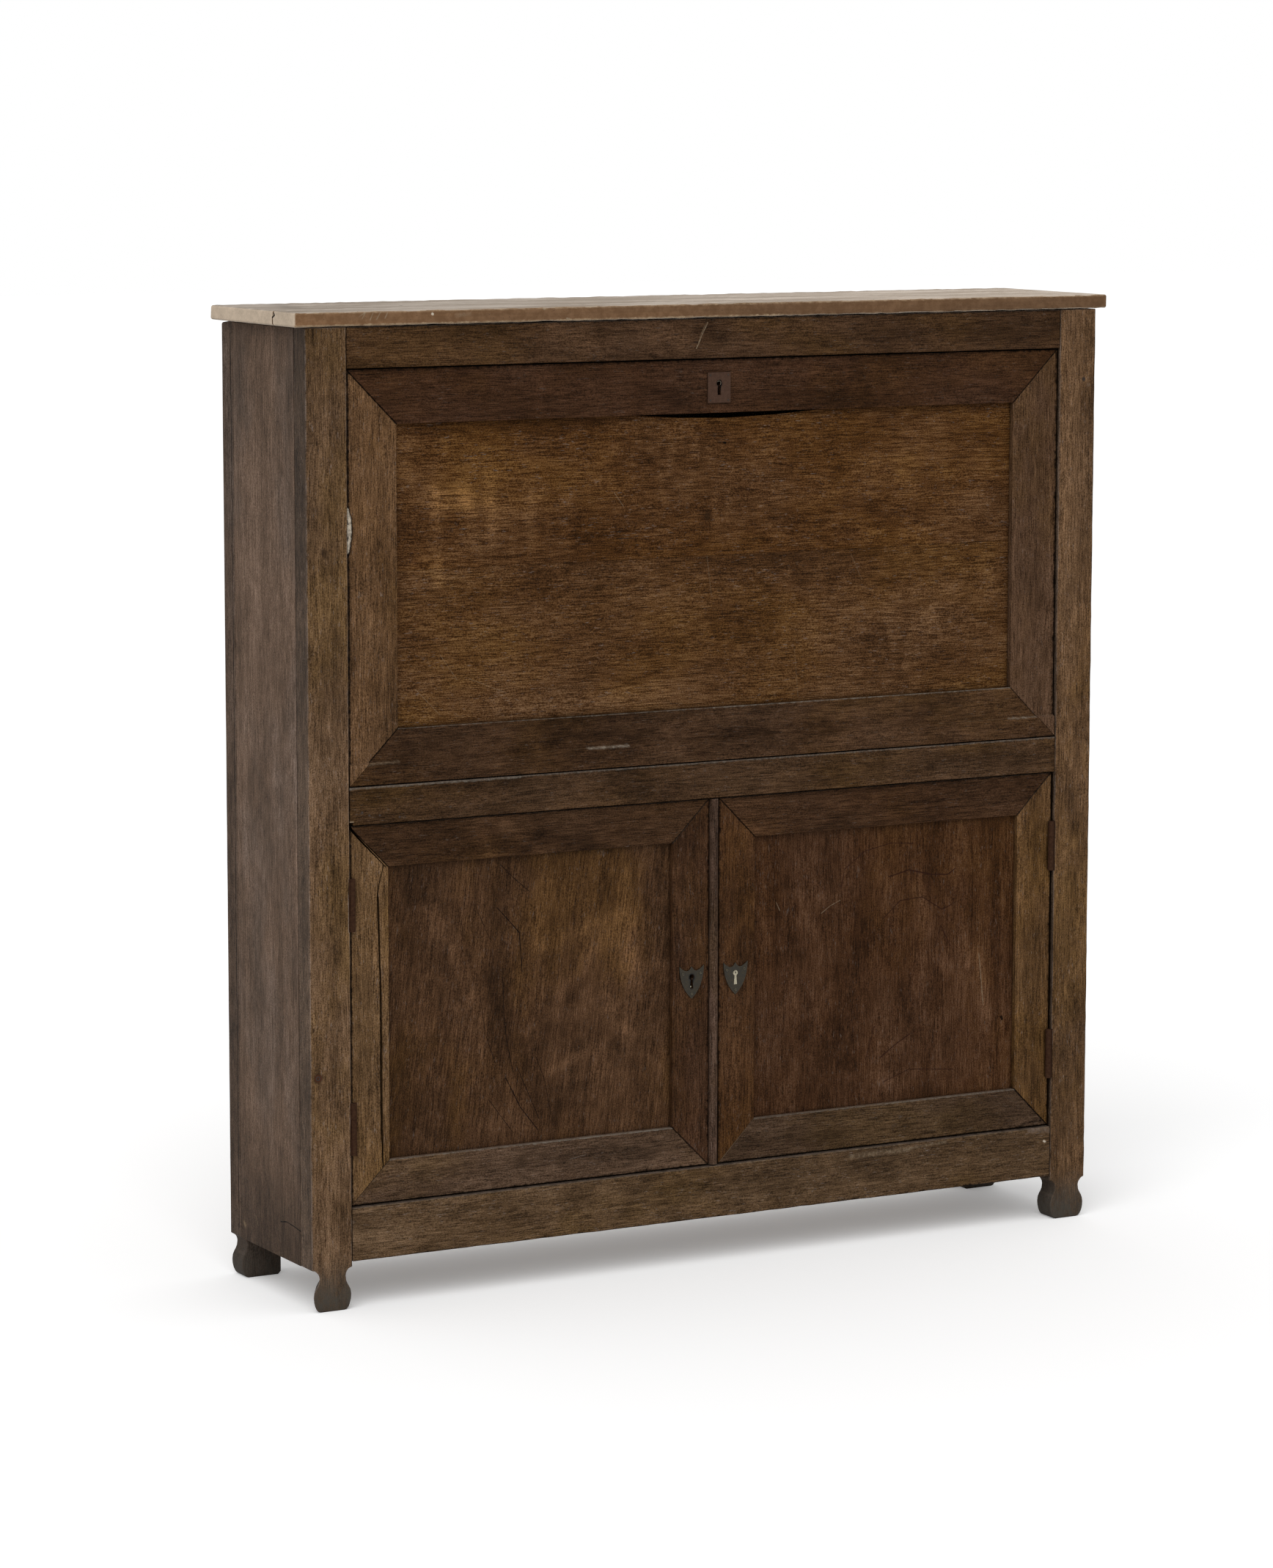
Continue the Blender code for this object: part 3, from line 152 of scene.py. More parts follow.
@dataclass
class Look:
    """How a board looks: its grain axis, its colour in plain light, and the contrast of each layer."""
    along: str
    shade: tuple
    fibre: float = 1.5
    figure: float = 0.7
    patch: float = 1.0
    flame: float = 0.0
    bloom: float = 0.08
    golden: float = 0.45
    flecks: float = 0.5
    wear: float = 0.0
    slant: float = 0.0
    dust: float = 0.7
    paling: float = 0.3
    soil: float = 0.0
    side: tuple = ()
    fades: tuple = ()


# Node graphs

class Graph:
    """Short calls for building a material's nodes; along is the axis of its grain."""

    def __init__(self, name, along="X"):
        self.along = along
        self.material = bpy.data.materials.new(name)
        self.material.use_nodes = True
        self.tree = self.material.node_tree
        self.shader = self.tree.nodes["Principled BSDF"]
        self.object_place = self.add("ShaderNodeTexCoord").outputs["Object"]
        self.normal = self.add("ShaderNodeNewGeometry").outputs["Normal"]

    def add(self, kind, inputs=None, **settings):
        node = self.tree.nodes.new(kind)
        for key, value in settings.items():
            setattr(node, key, value)
        for key, value in (inputs or {}).items():
            self.feed(node.inputs[key], value)
        return node

    def feed(self, socket, value):
        if isinstance(value, bpy.types.NodeSocket):
            self.tree.links.new(value, socket)
        else:
            socket.default_value = value

    def shade(self, values):
        """Set the shader's own inputs."""
        for key, value in values.items():
            self.feed(self.shader.inputs[key], value)

    def bump(self, height, strength, distance):
        made = self.add("ShaderNodeBump", {"Height": height, "Strength": strength, "Distance": distance})
        self.shade({"Normal": made.outputs[0]})

    def place(self, vector, scale=(1, 1, 1), shift=(0, 0, 0), turn=(0, 0, 0)):
        return self.add("ShaderNodeMapping", {"Vector": vector, "Scale": scale, "Location": shift,
                                              "Rotation": turn}).outputs[0]

    def noise(self, vector, scale=1.0, detail=2.0, roughness=0.5, distortion=0.0, output=0):
        made = self.add("ShaderNodeTexNoise", {"Vector": vector, "Scale": scale, "Detail": detail,
                                               "Roughness": roughness, "Distortion": distortion})
        return made.outputs[output]

    def stretched(self, across_grain, along_grain):
        """Values for X, Y and Z, of which the grain's axis has its own."""
        return tuple(along_grain if axis == self.along else across_grain for axis in "XYZ")

    def layer(self, place, across_grain, along_grain, detail=2.0, roughness=0.5, shift=(0, 0, 0), **more):
        """Noise with its own scale across the grain and along it."""
        place = self.place(place, self.stretched(across_grain, along_grain), shift)
        return self.noise(place, detail=detail, roughness=roughness, **more)

    def math(self, operation, first, second=0.0, clamp=False):
        node = self.add("ShaderNodeMath", {0: first, 1: second}, operation=operation)
        node.use_clamp = clamp
        return node.outputs[0]

    def total(self, *values):
        return reduce(lambda first, second: self.math("ADD", first, second), values)

    def product(self, *values):
        return reduce(lambda first, second: self.math("MULTIPLY", first, second), values)

    def vector(self, operation, first, second, output=0):
        return self.add("ShaderNodeVectorMath", {0: first, 1: second}, operation=operation).outputs[output]

    def scaled(self, vector, amount):
        """A vector or a colour, times an amount."""
        start = vector[:3] if isinstance(vector, tuple) else vector
        return self.add("ShaderNodeVectorMath", {0: start, "Scale": amount}, operation="SCALE").outputs[0]

    def step(self, value, low, high, out_low=0.0, out_high=1.0):
        """A smooth step of the value between low and high."""
        return self.add("ShaderNodeMapRange", {"Value": value, "From Min": low, "From Max": high,
                                               "To Min": out_low, "To Max": out_high},
                        interpolation_type="SMOOTHSTEP").outputs[0]

    def mix(self, share, first, second):
        node = self.add("ShaderNodeMix", {0: share}, data_type="RGBA")
        self.feed(node.inputs[6], first)
        self.feed(node.inputs[7], second)
        return node.outputs[2]

    def swing(self, value, size):
        """A noise value turned into a push of plus or minus the size."""
        return self.product(self.math("SUBTRACT", value, 0.5), 2 * size)

    def part_of(self, vector, name):
        return self.add("ShaderNodeSeparateXYZ", {"Vector": vector}).outputs[name]

    def axis(self, name):
        return self.part_of(self.object_place, name)

    def facing(self, axis, sign):
        """1 where the surface faces along an axis."""
        return self.step(self.product(self.part_of(self.normal, axis), sign), 0.5, 0.8)

    def stroke(self, points, wobble):
        """The distance to a line through the points, made unsteady by the wobble."""
        nearest = None
        for start, end in zip(points, points[1:]):
            run = Vector(end) - Vector(start)
            away = self.vector("SUBTRACT", self.object_place, tuple(start))
            along = self.vector("DOT_PRODUCT", away, tuple(run / run.length_squared), "Value")
            along = self.math("ADD", along, 0.0, clamp=True)
            gap = self.vector("DISTANCE", away, self.scaled(tuple(run), along), "Value")
            nearest = gap if nearest is None else self.math("MINIMUM", nearest, gap)
        return self.total(nearest, wobble)

    def edge(self, radius):
        """1 on the sharp outer edges of a piece, fading out over the radius."""
        rounded = self.add("ShaderNodeBevel", {"Radius": radius}, samples=4).outputs[0]
        same = self.vector("DOT_PRODUCT", rounded, self.normal, "Value")
        return self.step(same, 0.985, 0.8)

    def painted_hollow_shade(self, distance):
        """A mask for painted shade: 1 deep in a corner or a groove, 0 in the open."""
        open_share = self.add("ShaderNodeAmbientOcclusion", {"Distance": distance}, samples=6).outputs["AO"]
        return self.step(open_share, 0.15, 0.85, 1.0, 0.0)


def bright(colour, factor):
    return tuple(min(1.0, value * factor) for value in colour[:3]) + (1.0,)


def draw_marks(g, colour, marks):
    """Draw the strokes over a colour, and give back the colour and the depth of the cracks."""
    unsteady = g.noise(g.object_place, scale=130.0, detail=3.0, roughness=0.6)
    rough_spots = g.noise(g.object_place, scale=210.0, detail=4.0, roughness=0.7)
    depth = None
    for mark in marks:
        gap = g.stroke(mark.points, g.swing(unsteady, min(mark.width, MOST_WOBBLE) * 0.55))
        half = mark.width / 2
        share = g.step(gap, half * (1 + mark.soft), half * (1 - mark.soft), 0.0, mark.strength)
        if mark.patchy:
            share = g.product(share, g.step(rough_spots, 0.5 + 0.16 * mark.patchy, 0.5 - 0.1 * mark.patchy,
                                            1.0, 1.0 - mark.patchy))
        colour = g.mix(share, colour, mark.colour)
        if sum(mark.colour[:3]) < DARKEST_SUM:
            depth = share if depth is None else g.math("MAXIMUM", depth, share)
    return colour, depth


def oak(name, look, seed, marks=(), smudges=()):
    """Old oak, its varnish worn thin: fibres, pores, pale flecks, patches, bloom, painted shade in corners
    and grooves, and dust.
    """
    g = Graph(name, look.along)
    at = g.place(g.object_place, shift=(seed * 3.17, seed * 1.91, seed * 2.43), turn=(0, look.slant, 0))
    sway = g.layer(at, 4.0, 1.2, 3.0, output=1)
    push = g.vector("MULTIPLY", g.vector("SUBTRACT", sway, (0.5, 0.5, 0.5)), g.stretched(0.016, 0.0))
    bent = g.vector("ADD", at, push)
    streaks = g.layer(bent, 240.0, 12.0, 4.0, 0.75)
    fibres = g.layer(bent, 900.0, 42.0, 2.0, 0.6)
    grain = g.layer(bent, 700.0, 520.0, 1.0)
    pores = g.layer(bent, 900.0, 40.0)
    rays = g.layer(bent, 700.0, 120.0, shift=(7.0, 3.0, 5.0))
    bands = g.layer(bent, 34.0, 1.3, 4.0, 0.6)
    patches = g.layer(at, 15.0, 7.0, 6.0, 0.65, distortion=0.4)
    small = g.layer(at, 80.0, 42.0, 4.0, 0.75)
    cloud = g.layer(at, 6.5, 3.6, 5.0, 0.6, (2.0, 9.0, 4.0))

    # How light the wood is
    level = g.total(g.swing(bands, look.figure), 1.0, g.swing(patches, look.patch),
                    g.swing(small, look.patch * 0.5))
    if look.flame:
        cross = g.layer(at, 6.0, 26.0, 4.0, 0.6, distortion=0.6)
        flames = g.product(g.step(cross, 0.46, 0.7, -0.1, look.flame), g.step(cloud, 0.44, 0.6))
        level = g.total(level, flames)
    level = g.math("MINIMUM", g.math("MAXIMUM", level, 0.5), 2.0)
    for axis, start, end, at_start, at_end in look.fades:
        level = g.product(level, g.step(g.axis(axis), start, end, at_start, at_end))
    for smudge in smudges:
        gap = g.stroke(smudge.points, g.swing(small, smudge.width * 1.1))
        level = g.product(level, g.step(gap, smudge.width, 0.0, 1.0, 1.0 + smudge.change))
    fine = g.total(g.swing(fibres, look.fibre), g.swing(streaks, look.fibre * 0.4),
                   g.swing(grain, look.fibre * 0.75), 1.0)
    level = g.product(level, g.math("MAXIMUM", fine, 0.3))

    # Its colour
    base = linear(*look.shade)
    grey = (base[0] * 0.6 + base[1] * 0.4) * 0.92
    bloomed = (grey * 1.12, grey * 0.88, grey * 0.74, 1.0)
    golden = (base[0] * 1.1, base[1] * 1.08, base[2] * 0.66, 1.0)
    colour = g.mix(g.step(cloud, 0.46, 0.68, 0.0, look.bloom), base, bloomed)
    colour = g.mix(g.step(cloud, 0.54, 0.38, 0.0, look.golden), colour, golden)
    deep = (1 + 0.03 * look.paling, 1 - 0.04 * look.paling, 1 - 0.15 * look.paling, 1.0)
    pale = (1 - 0.06 * look.paling, 1 + 0.12 * look.paling, 1 + 0.4 * look.paling, 1.0)
    tint = g.mix(g.step(level, 0.45, 2.2), deep, pale)
    colour = g.scaled(g.vector("MULTIPLY", colour, tint), level)
    if look.side:
        sideways = g.step(g.math("ABSOLUTE", g.part_of(g.normal, "X")), 0.5, 0.8)
        colour = g.mix(sideways, colour, g.scaled(linear(*look.side), level))

    # Pores, pale flecks, worn edges and soil
    pore_mask = g.step(pores, 0.6, 0.7)
    colour = g.mix(g.product(pore_mask, 0.5), colour, bright(base, 0.32))
    bare = g.product(g.step(rays, 0.61, 0.7), g.step(small, 0.4, 0.66))
    colour = g.mix(g.product(bare, look.flecks), colour, bright(bloomed, 2.7))
    if look.wear:
        rub = g.step(g.noise(at, scale=32.0, detail=4.0, roughness=0.7), 0.4, 0.62)
        colour = g.mix(g.product(g.edge(0.0026), rub, look.wear), colour, bright(bloomed, 3.0))
    if look.soil:
        low_down = g.step(g.axis("Z"), SOIL_TOP, 0.0, 0.0, look.soil)
        colour = g.mix(g.product(low_down, g.step(small, 0.3, 0.6, 0.5, 1.0)), colour, SOIL)

    # Marks, painted shade in the corners and grooves, dust on what faces up
    colour, depth = draw_marks(g, colour, marks)
    colour = g.mix(g.product(g.painted_hollow_shade(0.03), 0.3), colour, bright(base, 0.3))
    colour = g.mix(g.product(g.painted_hollow_shade(0.005), 0.75), colour, bright(base, 0.12))
    if look.dust:
        fluff = g.step(g.noise(at, scale=90.0, detail=4.0, roughness=0.7), 0.3, 0.62, 0.35, 1.0)
        settled = g.product(g.step(g.part_of(g.normal, "Z"), 0.35, 0.9, 0.0, look.dust), fluff)
        colour = g.mix(settled, colour, DUST)
    g.shade({"Base Color": colour, "Specular IOR Level": 0.03,
             "Roughness": g.step(level, 0.5, 1.5, 0.55, 0.74)})
    height = g.total(g.product(fibres, 0.6), g.product(pore_mask, -0.5), g.product(small, 0.4))
    if depth is not None:
        height = g.math("SUBTRACT", height, g.product(depth, 2.0))
    g.bump(height, 0.5, 0.0006)
    return g.material


def top_wood():
    """The top board: bare and bleached above, brown where the front edge keeps its stain."""
    g = Graph("bare_top")
    ends = across("top_board")
    at = g.place(g.object_place, shift=(4.0, 1.0, 0.0))
    fibres = g.layer(at, 330.0, 9.0, 4.0, 0.7)
    bands = g.layer(at, 50.0, 1.6, 3.0)
    patches = g.layer(at, 22.0, 4.0, 6.0, 0.65)
    long_stain = g.layer(at, 90.0, 2.2, 4.0, 0.6)
    small = g.noise(at, scale=85.0, detail=4.0, roughness=0.7)
    dots = g.noise(at, scale=420.0, detail=2.0)
    push = g.total(g.swing(fibres, 0.3), g.swing(bands, 0.3), g.swing(patches, 0.25))
    level = g.total(push, 1.0)
    bleached = g.mix(g.step(patches, 0.4, 0.62), linear(170, 155, 139), linear(194, 181, 167))
    bleached = g.mix(g.step(long_stain, 0.52, 0.68, 0.0, 0.35), bleached, linear(140, 118, 98))
    bleached = g.scaled(bleached, g.product(level, g.step(g.axis("X"), *ends, 0.84, 1.18)))
    stained = g.mix(g.step(small, 0.38, 0.66), linear(102, 74, 49), linear(116, 87, 61))
    stained = g.scaled(stained, g.product(g.step(g.axis("X"), *ends, 1.22, 0.82),
                                          g.total(g.product(push, 0.9), 1.0)))
    front = g.facing("Y", -1)
    colour = g.mix(front, bleached, stained)
    bare = g.product(g.step(patches, 0.62, 0.74), front, 0.3)
    colour = g.mix(bare, colour, linear(140, 116, 92))
    colour = g.mix(g.facing("X", -1), colour, g.scaled(linear(190, 172, 151), level))
    worn = g.product(g.edge(0.003), g.step(small, 0.36, 0.58), 0.55)
    colour = g.mix(worn, colour, linear(166, 144, 116))
    specks = g.product(g.step(dots, 0.67, 0.73), g.step(small, 0.48, 0.56), 0.8)
    colour = g.mix(specks, colour, linear(64, 48, 36))
    colour, _ = draw_marks(g, colour, MARKS["top_board"])
    g.shade({"Base Color": colour, "Roughness": 0.8, "Specular IOR Level": 0.2})
    g.bump(g.total(fibres, small), 0.4, 0.0006)
    return g.material


def old_metal(name, base, spots, metallic, roughness, scale=240.0, rim=1.8, marks=(), shine=0.5):
    """Dull metal: a base colour with spots of rust or grime, paler on its edges, with painted shade in its
    hollows.
    """
    g = Graph(name)
    cloud = g.noise(g.object_place, scale=scale, detail=6.0, roughness=0.7)
    fine = g.noise(g.object_place, scale=1300.0, detail=4.0, roughness=0.7)
    colour = g.mix(g.step(cloud, 0.4, 0.62), base, spots)
    colour = g.mix(g.product(g.edge(0.0008), 0.6), colour, bright(base, rim))
    colour, _ = draw_marks(g, colour, marks)
    # Painted shade, darker in the metal's hollows
    colour = g.mix(g.product(g.painted_hollow_shade(0.004), 0.7), colour, bright(base, 0.2))
    g.shade({"Base Color": colour, "Metallic": metallic, "Specular IOR Level": shine,
             "Roughness": g.step(cloud, 0.3, 0.7, roughness, roughness + 0.2)})
    g.bump(g.total(cloud, fine), 0.4, 0.0004)
    return g.material


# Worn copies of the boards

WELD = 0.00002
FLAT_ANGLE = math.radians(0.6)
SHARP_ANGLE = math.radians(35)
WANDER_SCALES = (38.0, 140.0)
BEFORE_FACE = 0.002


@dataclass
class Wear:
    """How far a board's arrises are rounded, how far its edges wander in, and the length between turns."""
    rounding: float
    wander: float
    spacing: float = 0.016


def put(name, data):
    """An object in the scene, made from the data."""
    made = bpy.data.objects.new(name, data)
    bpy.context.scene.collection.objects.link(made)
    return made


def fit(name, data, body, slot):
    """A piece that rides on a body."""
    made = put(name, data)
    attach(made, body)
    return made


def piece(name, b, body, material, slot, smooth=False):
    """Turn a bmesh into a piece that rides on a body."""
    mesh = bpy.data.meshes.new(name)
    b.to_mesh(mesh)
    b.free()
    for face in mesh.polygons:
        face.use_smooth = smooth
    mesh.materials.append(material)
    return fit(name, mesh, body, slot)


def prism(b, near, far):
    """Join two outlines of points into a closed solid."""
    near = [b.verts.new(point) for point in near]
    far = [b.verts.new(point) for point in far]
    b.faces.new(near)
    b.faces.new(far[::-1])
    for index in range(len(near)):
        other = (index + 1) % len(near)
        b.faces.new((near[index], far[index], far[other], near[other]))


def cut_away(mesh, cutters):
    """Take the cutters' solids out of a mesh."""
    holder = put("cut", mesh)
    tools = []
    for b in cutters:
        tool_mesh = bpy.data.meshes.new("cutter")
        b.to_mesh(tool_mesh)
        tools.append(put("cutter", tool_mesh))
        step = holder.modifiers.new("cut", "BOOLEAN")
        step.operation, step.solver, step.object = "DIFFERENCE", "EXACT", tools[-1]
    evaluated = holder.evaluated_get(bpy.context.evaluated_depsgraph_get())
    result = bpy.data.meshes.new_from_object(evaluated)
    for made in [holder] + tools:
        bpy.data.objects.remove(made)
    return result


def worn_copy(node, wear, material, cutters=()):
    """A board's copy with soft arrises and edges that wander inward, never outside the board."""
    low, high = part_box(node)
    sizes = [top - bottom for bottom, top in zip(low, high)]
    axis = sizes.index(max(sizes))
    b = bmesh.new()
    b.from_mesh(NODES[node].data)
    bmesh.ops.remove_doubles(b, verts=b.verts, dist=WELD)
    bmesh.ops.dissolve_limit(b, angle_limit=FLAT_ANGLE, verts=b.verts, edges=b.edges)
    normal = Vector([1.0 if index == axis else 0.0 for index in range(3)])
    turns = int(sizes[axis] / wear.spacing)
    for turn in range(1, turns):
        place = normal * (low[axis] + sizes[axis] * turn / turns)
        bmesh.ops.bisect_plane(b, geom=b.verts[:] + b.edges[:] + b.faces[:], dist=WELD, plane_co=place,
                               plane_no=normal)
    b.normal_update()
    moves = []
    for vertex in b.verts:
        sway = sum(noise.noise(vertex.co * scale) for scale in WANDER_SCALES) / len(WANDER_SCALES)
        moves.append((vertex, vertex.normal * wear.wander * min(1.0, max(0.0, 0.35 + sway))))
    for vertex, move in moves:
        vertex.co -= move
    sharp = [edge for edge in b.edges if edge.is_manifold and edge.calc_face_angle() > SHARP_ANGLE]
    bmesh.ops.bevel(b, geom=sharp, offset=wear.rounding, segments=2, profile=0.5, affect="EDGES",
                    clamp_overlap=True)
    if cutters:
        rough = bpy.data.meshes.new("rough")
        b.to_mesh(rough)
        b.free()
        cut = cut_away(rough, cutters)
        b = bmesh.new()
        b.from_mesh(cut)
    made = piece("worn_" + node, b, BODY_OF[node], material, SLOT_OF[node])
    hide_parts(node)
    return made


def crack_cutter(place, path, depth, jitter=0.0005, spacing=0.005):
    """A thin jagged wedge along a path of (across, up, width), set out by the place function."""
    points = []
    for (a0, u0, w0), (a1, u1, w1) in zip(path, path[1:]):
        count = max(1, int(math.hypot(a1 - a0, u1 - u0) / spacing))
        points += [(a0 + (a1 - a0) * i / count, u0 + (u1 - u0) * i / count, w0 + (w1 - w0) * i / count)
                   for i in range(count)]
    points.append(path[-1])
    left, right = [], []
    for index, (across_at, up, width) in enumerate(points):
        before, after = points[max(index - 1, 0)], points[min(index + 1, len(points) - 1)]
        run = Vector((after[0] - before[0], after[1] - before[1])).normalized()
        side = Vector((-run.y, run.x))
        sway = noise.noise(Vector((across_at * 300, up * 300, 0))) * jitter
        centre = Vector((across_at, up)) + side * sway
        left.append(centre + side * width / 2)
        right.append(centre - side * width / 2)
    outline = left + right[::-1]
    b = bmesh.new()
    prism(b, *([place(point.x, point.y, behind) for point in outline] for behind in (-BEFORE_FACE, depth)))
    bmesh.ops.recalc_face_normals(b, faces=b.faces)
    return b


def on_front(y):
    """Places points (x, z) on a front plane, with a depth that runs back."""
    return lambda x, z, depth=0.0: Vector((x, y + depth, z))


def on_left(x):
    """Places points (y, z) on a plane of the left end, with a depth that runs to the right."""
    return lambda y, z, depth=0.0: Vector((x + depth, y, z))


def on_top(x, y):
    return Vector((x, y, TOP_Z))


POST, DOOR, PANEL = on_front(POST_Y), on_front(DOOR_Y), on_front(PANEL_Y)
FLAP, FLAP_PANEL = on_front(FLAP_Y), on_front(FLAP_PANEL_Y)
TOP_FACE, TOP_END, SIDE = on_front(TOP_FRONT), on_left(TOP_END_X), on_left(SIDE_X)


# Small turned and cut pieces

FRONT = (0, -1, 0)
HEAD_RISE = 0.4
WIRE_RADIUS = 0.00035


def turned(name, profile, at, facing, body, material, slot, sides=20):
    """A turned piece: its profile gives (radius, height) along the facing."""
    b = bmesh.new()
    turn = Vector(facing).to_track_quat("Z", "Y").to_matrix()
    rings = []
    angles = [2 * math.pi * side / sides for side in range(sides)]
    for radius, height in profile:
        points = [Vector((radius * math.cos(a), radius * math.sin(a), height)) for a in angles]
        rings.append([b.verts.new(Vector(at) + turn @ point) for point in points])
    b.faces.new(rings[0][::-1])
    b.faces.new(rings[-1])
    for lower, upper in zip(rings, rings[1:]):
        for side in range(sides):
            other = (side + 1) % sides
            b.faces.new((lower[side], lower[other], upper[other], upper[side]))
    return piece(name, b, body, material, slot, smooth=True)


def head(radius, *rings):
    """A nail head's profile: its lower end, then rings as shares of its radius and of its rise."""
    return [(radius, -radius)] + [(radius * out, radius * HEAD_RISE * up) for out, up in rings]


def dome(radius):
    """The profile of a nail's domed head."""
    return head(radius, (1.0, 0.2), (0.86, 0.65), (0.55, 0.93), (0.15, 1.0))


def ring_head(radius):
    """The profile of a nail head that is dished in the middle."""
    return head(radius, (1.0, 0.3), (0.82, 1.0), (0.6, 1.0), (0.42, 0.2), (0.15, 0.1))


def slotted_screw(name, at, facing, radius, body, material, slot):
    """A flat screw head in two halves with its slot between them."""
    thick, slot_half = radius * 0.25, radius * 0.14
    turn = Vector(facing).to_track_quat("Z", "Y").to_matrix() @ Matrix.Rotation(math.radians(27), 3, "Z")
    start = math.asin(slot_half / radius)
    angles = [start + (math.pi - 2 * start) * step / 12 for step in range(13)]
    b = bmesh.new()
    for reach in (radius, -radius):
        outline = [(reach * math.cos(a), reach * math.sin(a)) for a in angles]
        prism(b, *([Vector(at) + turn @ Vector((x, y, height)) for x, y in outline]
                   for height in (thick * 0.3, -thick)))
    return piece(name, b, body, material, slot)


def keyhole_filler(name, x, z, front, body, material, slot):
    """Putty pressed into a keyhole, a little uneven on its face."""
    radius, slot_length, waist, flare, depth, unevenness = 0.0037, 0.0158, 0.003, 0.005, 0.003, 0.0002
    start = math.asin(waist / 2 / radius) - math.pi / 2
    sweep = [start + (math.pi - 2 * start) * step / 16 for step in range(17)]
    outline = [(x + radius * math.cos(a), z + radius * math.sin(a)) for a in sweep]
    outline += [(x - flare / 2, z - slot_length), (x + flare / 2, z - slot_length)]
    b = bmesh.new()
    uneven = [unevenness * noise.noise(Vector((px * 400, 0, pz * 400))) for px, pz in outline]
    prism(b, [(px, front + push, pz) for (px, pz), push in zip(outline, uneven)],
          [(px, front + depth, pz) for px, pz in outline])
    bmesh.ops.recalc_face_normals(b, faces=b.faces)
    return piece(name, b, body, material, slot)


def bent_wire(name, points, body, material, slot):
    """A short bent wire."""
    curve = bpy.data.curves.new(name, "CURVE")
    curve.dimensions = "3D"
    curve.bevel_depth = WIRE_RADIUS
    curve.bevel_resolution = 3
    curve.use_fill_caps = True
    spline = curve.splines.new("POLY")
    spline.points.add(len(points) - 1)
    for point, place in zip(spline.points, points):
        point.co = (*place, 1.0)
    curve.materials.append(material)
    return fit(name, curve, body, slot)


# Looks of the outer boards

LEFT_END, RIGHT_END = across("top_rail")
PANEL_LEFT, PANEL_RIGHT = across("flap_lower_panel")
FOOT_DIRT = ("Z", 0.0, 0.075, 0.55, 1.0)
SIDE_FADES = (("Z", 0.06, 0.26, 0.45, 1.0), ("Z", 0.95, UNDER_TOP, 1.05, 0.8), ("Z", 0.2, 0.6, 0.9, 1.04))
POST_SIDE_SHADE = (80, 66, 55)
SIDE_LOOK = Look("Z", (99, 80, 66), fibre=1.2, figure=0.6, patch=0.8, golden=0.0, bloom=0.4, flecks=0.2,
                 fades=SIDE_FADES)
BACK_POST_LOOK = Look("Z", (80, 65, 54), golden=0.0, bloom=0.4, soil=0.7, fades=(FOOT_DIRT,))
INNER_LOOK = Look("X", (142, 112, 82), fibre=0.7, figure=0.4, patch=0.4, flecks=0.2, dust=0.3)
BACK_LOOK = Look("Z", (112, 88, 66), fibre=0.9, figure=0.5, patch=0.5, dust=0.3)


def front_post(shade, wear, *fade):
    """A front post, with the fade along its height."""
    return Look("Z", shade, wear=wear, soil=1.0, side=POST_SIDE_SHADE, fades=(("Z", *fade), FOOT_DIRT))


def flap_board(shade, flame, at_right):
    """A board of the flap's panel: golden, with strong fibres, and how light it is at its right end."""
    return Look("X", shade, fibre=2.1, figure=0.35, patch=0.8, flecks=0.6, flame=flame, paling=1.0, dust=0.0,
                fades=(("X", PANEL_LEFT, 0.0, 1.08, 0.93), ("X", 0.0, PANEL_RIGHT, 1.0, at_right)))


LOOKS = {
    "front_post_left": front_post((97, 74, 53), 0.9, 0.6, 0.95, 1.14, 0.86),
    "front_post_right": front_post((97, 72, 49), 0.5, 0.2, 0.75, 0.78, 1.06),
    "back_post_left": BACK_POST_LOOK,
    "back_post_right": BACK_POST_LOOK,
    "side_panel_left": SIDE_LOOK,
    "side_panel_right": SIDE_LOOK,
    "top_rail": Look("X", (65, 45, 29), fades=(("X", LEFT_END, RIGHT_END, 1.08, 0.9),)),
    "middle_rail": Look("X", (69, 49, 32), patch=1.3, golden=0.6, flecks=0.6),
    "bottom_rail": Look("X", (84, 64, 44), wear=0.3, flecks=0.7,
                        fades=(("X", LEFT_END, RIGHT_END, 1.2, 0.85),)),
    "flap_top_rail": Look("X", (58, 37, 23), dust=0.1),
    "flap_bottom_rail": Look("X", (64, 44, 28), patch=1.3, dust=0.0),
    "flap_left_stile": Look("Z", (95, 69, 45), dust=0.1, fades=(("Z", 0.7, 0.86, 0.8, 1.0),)),
    "flap_right_stile": Look("Z", (75, 54, 38), dust=0.1),
    "flap_lower_panel": flap_board((85, 57, 32), 0.2, 1.08),
    "flap_upper_panel": flap_board((82, 53, 27), 0.3, 1.06),
    "left_door_top_rail": Look("X", (62, 42, 26)),
    "left_door_bottom_rail": Look("X", (80, 61, 46)),
    "left_door_left_stile": Look("Z", (100, 75, 49), fades=(("Z", 0.15, 0.4, 0.88, 1.02),)),
    "left_door_right_stile": Look("Z", (67, 45, 30)),
    "left_door_panel": Look("Z", (75, 52, 34), bloom=0.05, golden=0.6, flame=0.3, slant=-0.12),
    "right_door_top_rail": Look("X", (63, 42, 26)),
    "right_door_bottom_rail": Look("X", (68, 51, 37)),
    "right_door_left_stile": Look("Z", (70, 46, 27)),
    "right_door_right_stile": Look("Z", (89, 64, 39), fades=(("Z", 0.15, 0.4, 0.84, 1.02),)),
    "right_door_panel": Look("Z", (71, 46, 28), flame=0.15, paling=0.8),
    "meeting_bead": Look("Z", (75, 57, 46), wear=0.5),
}
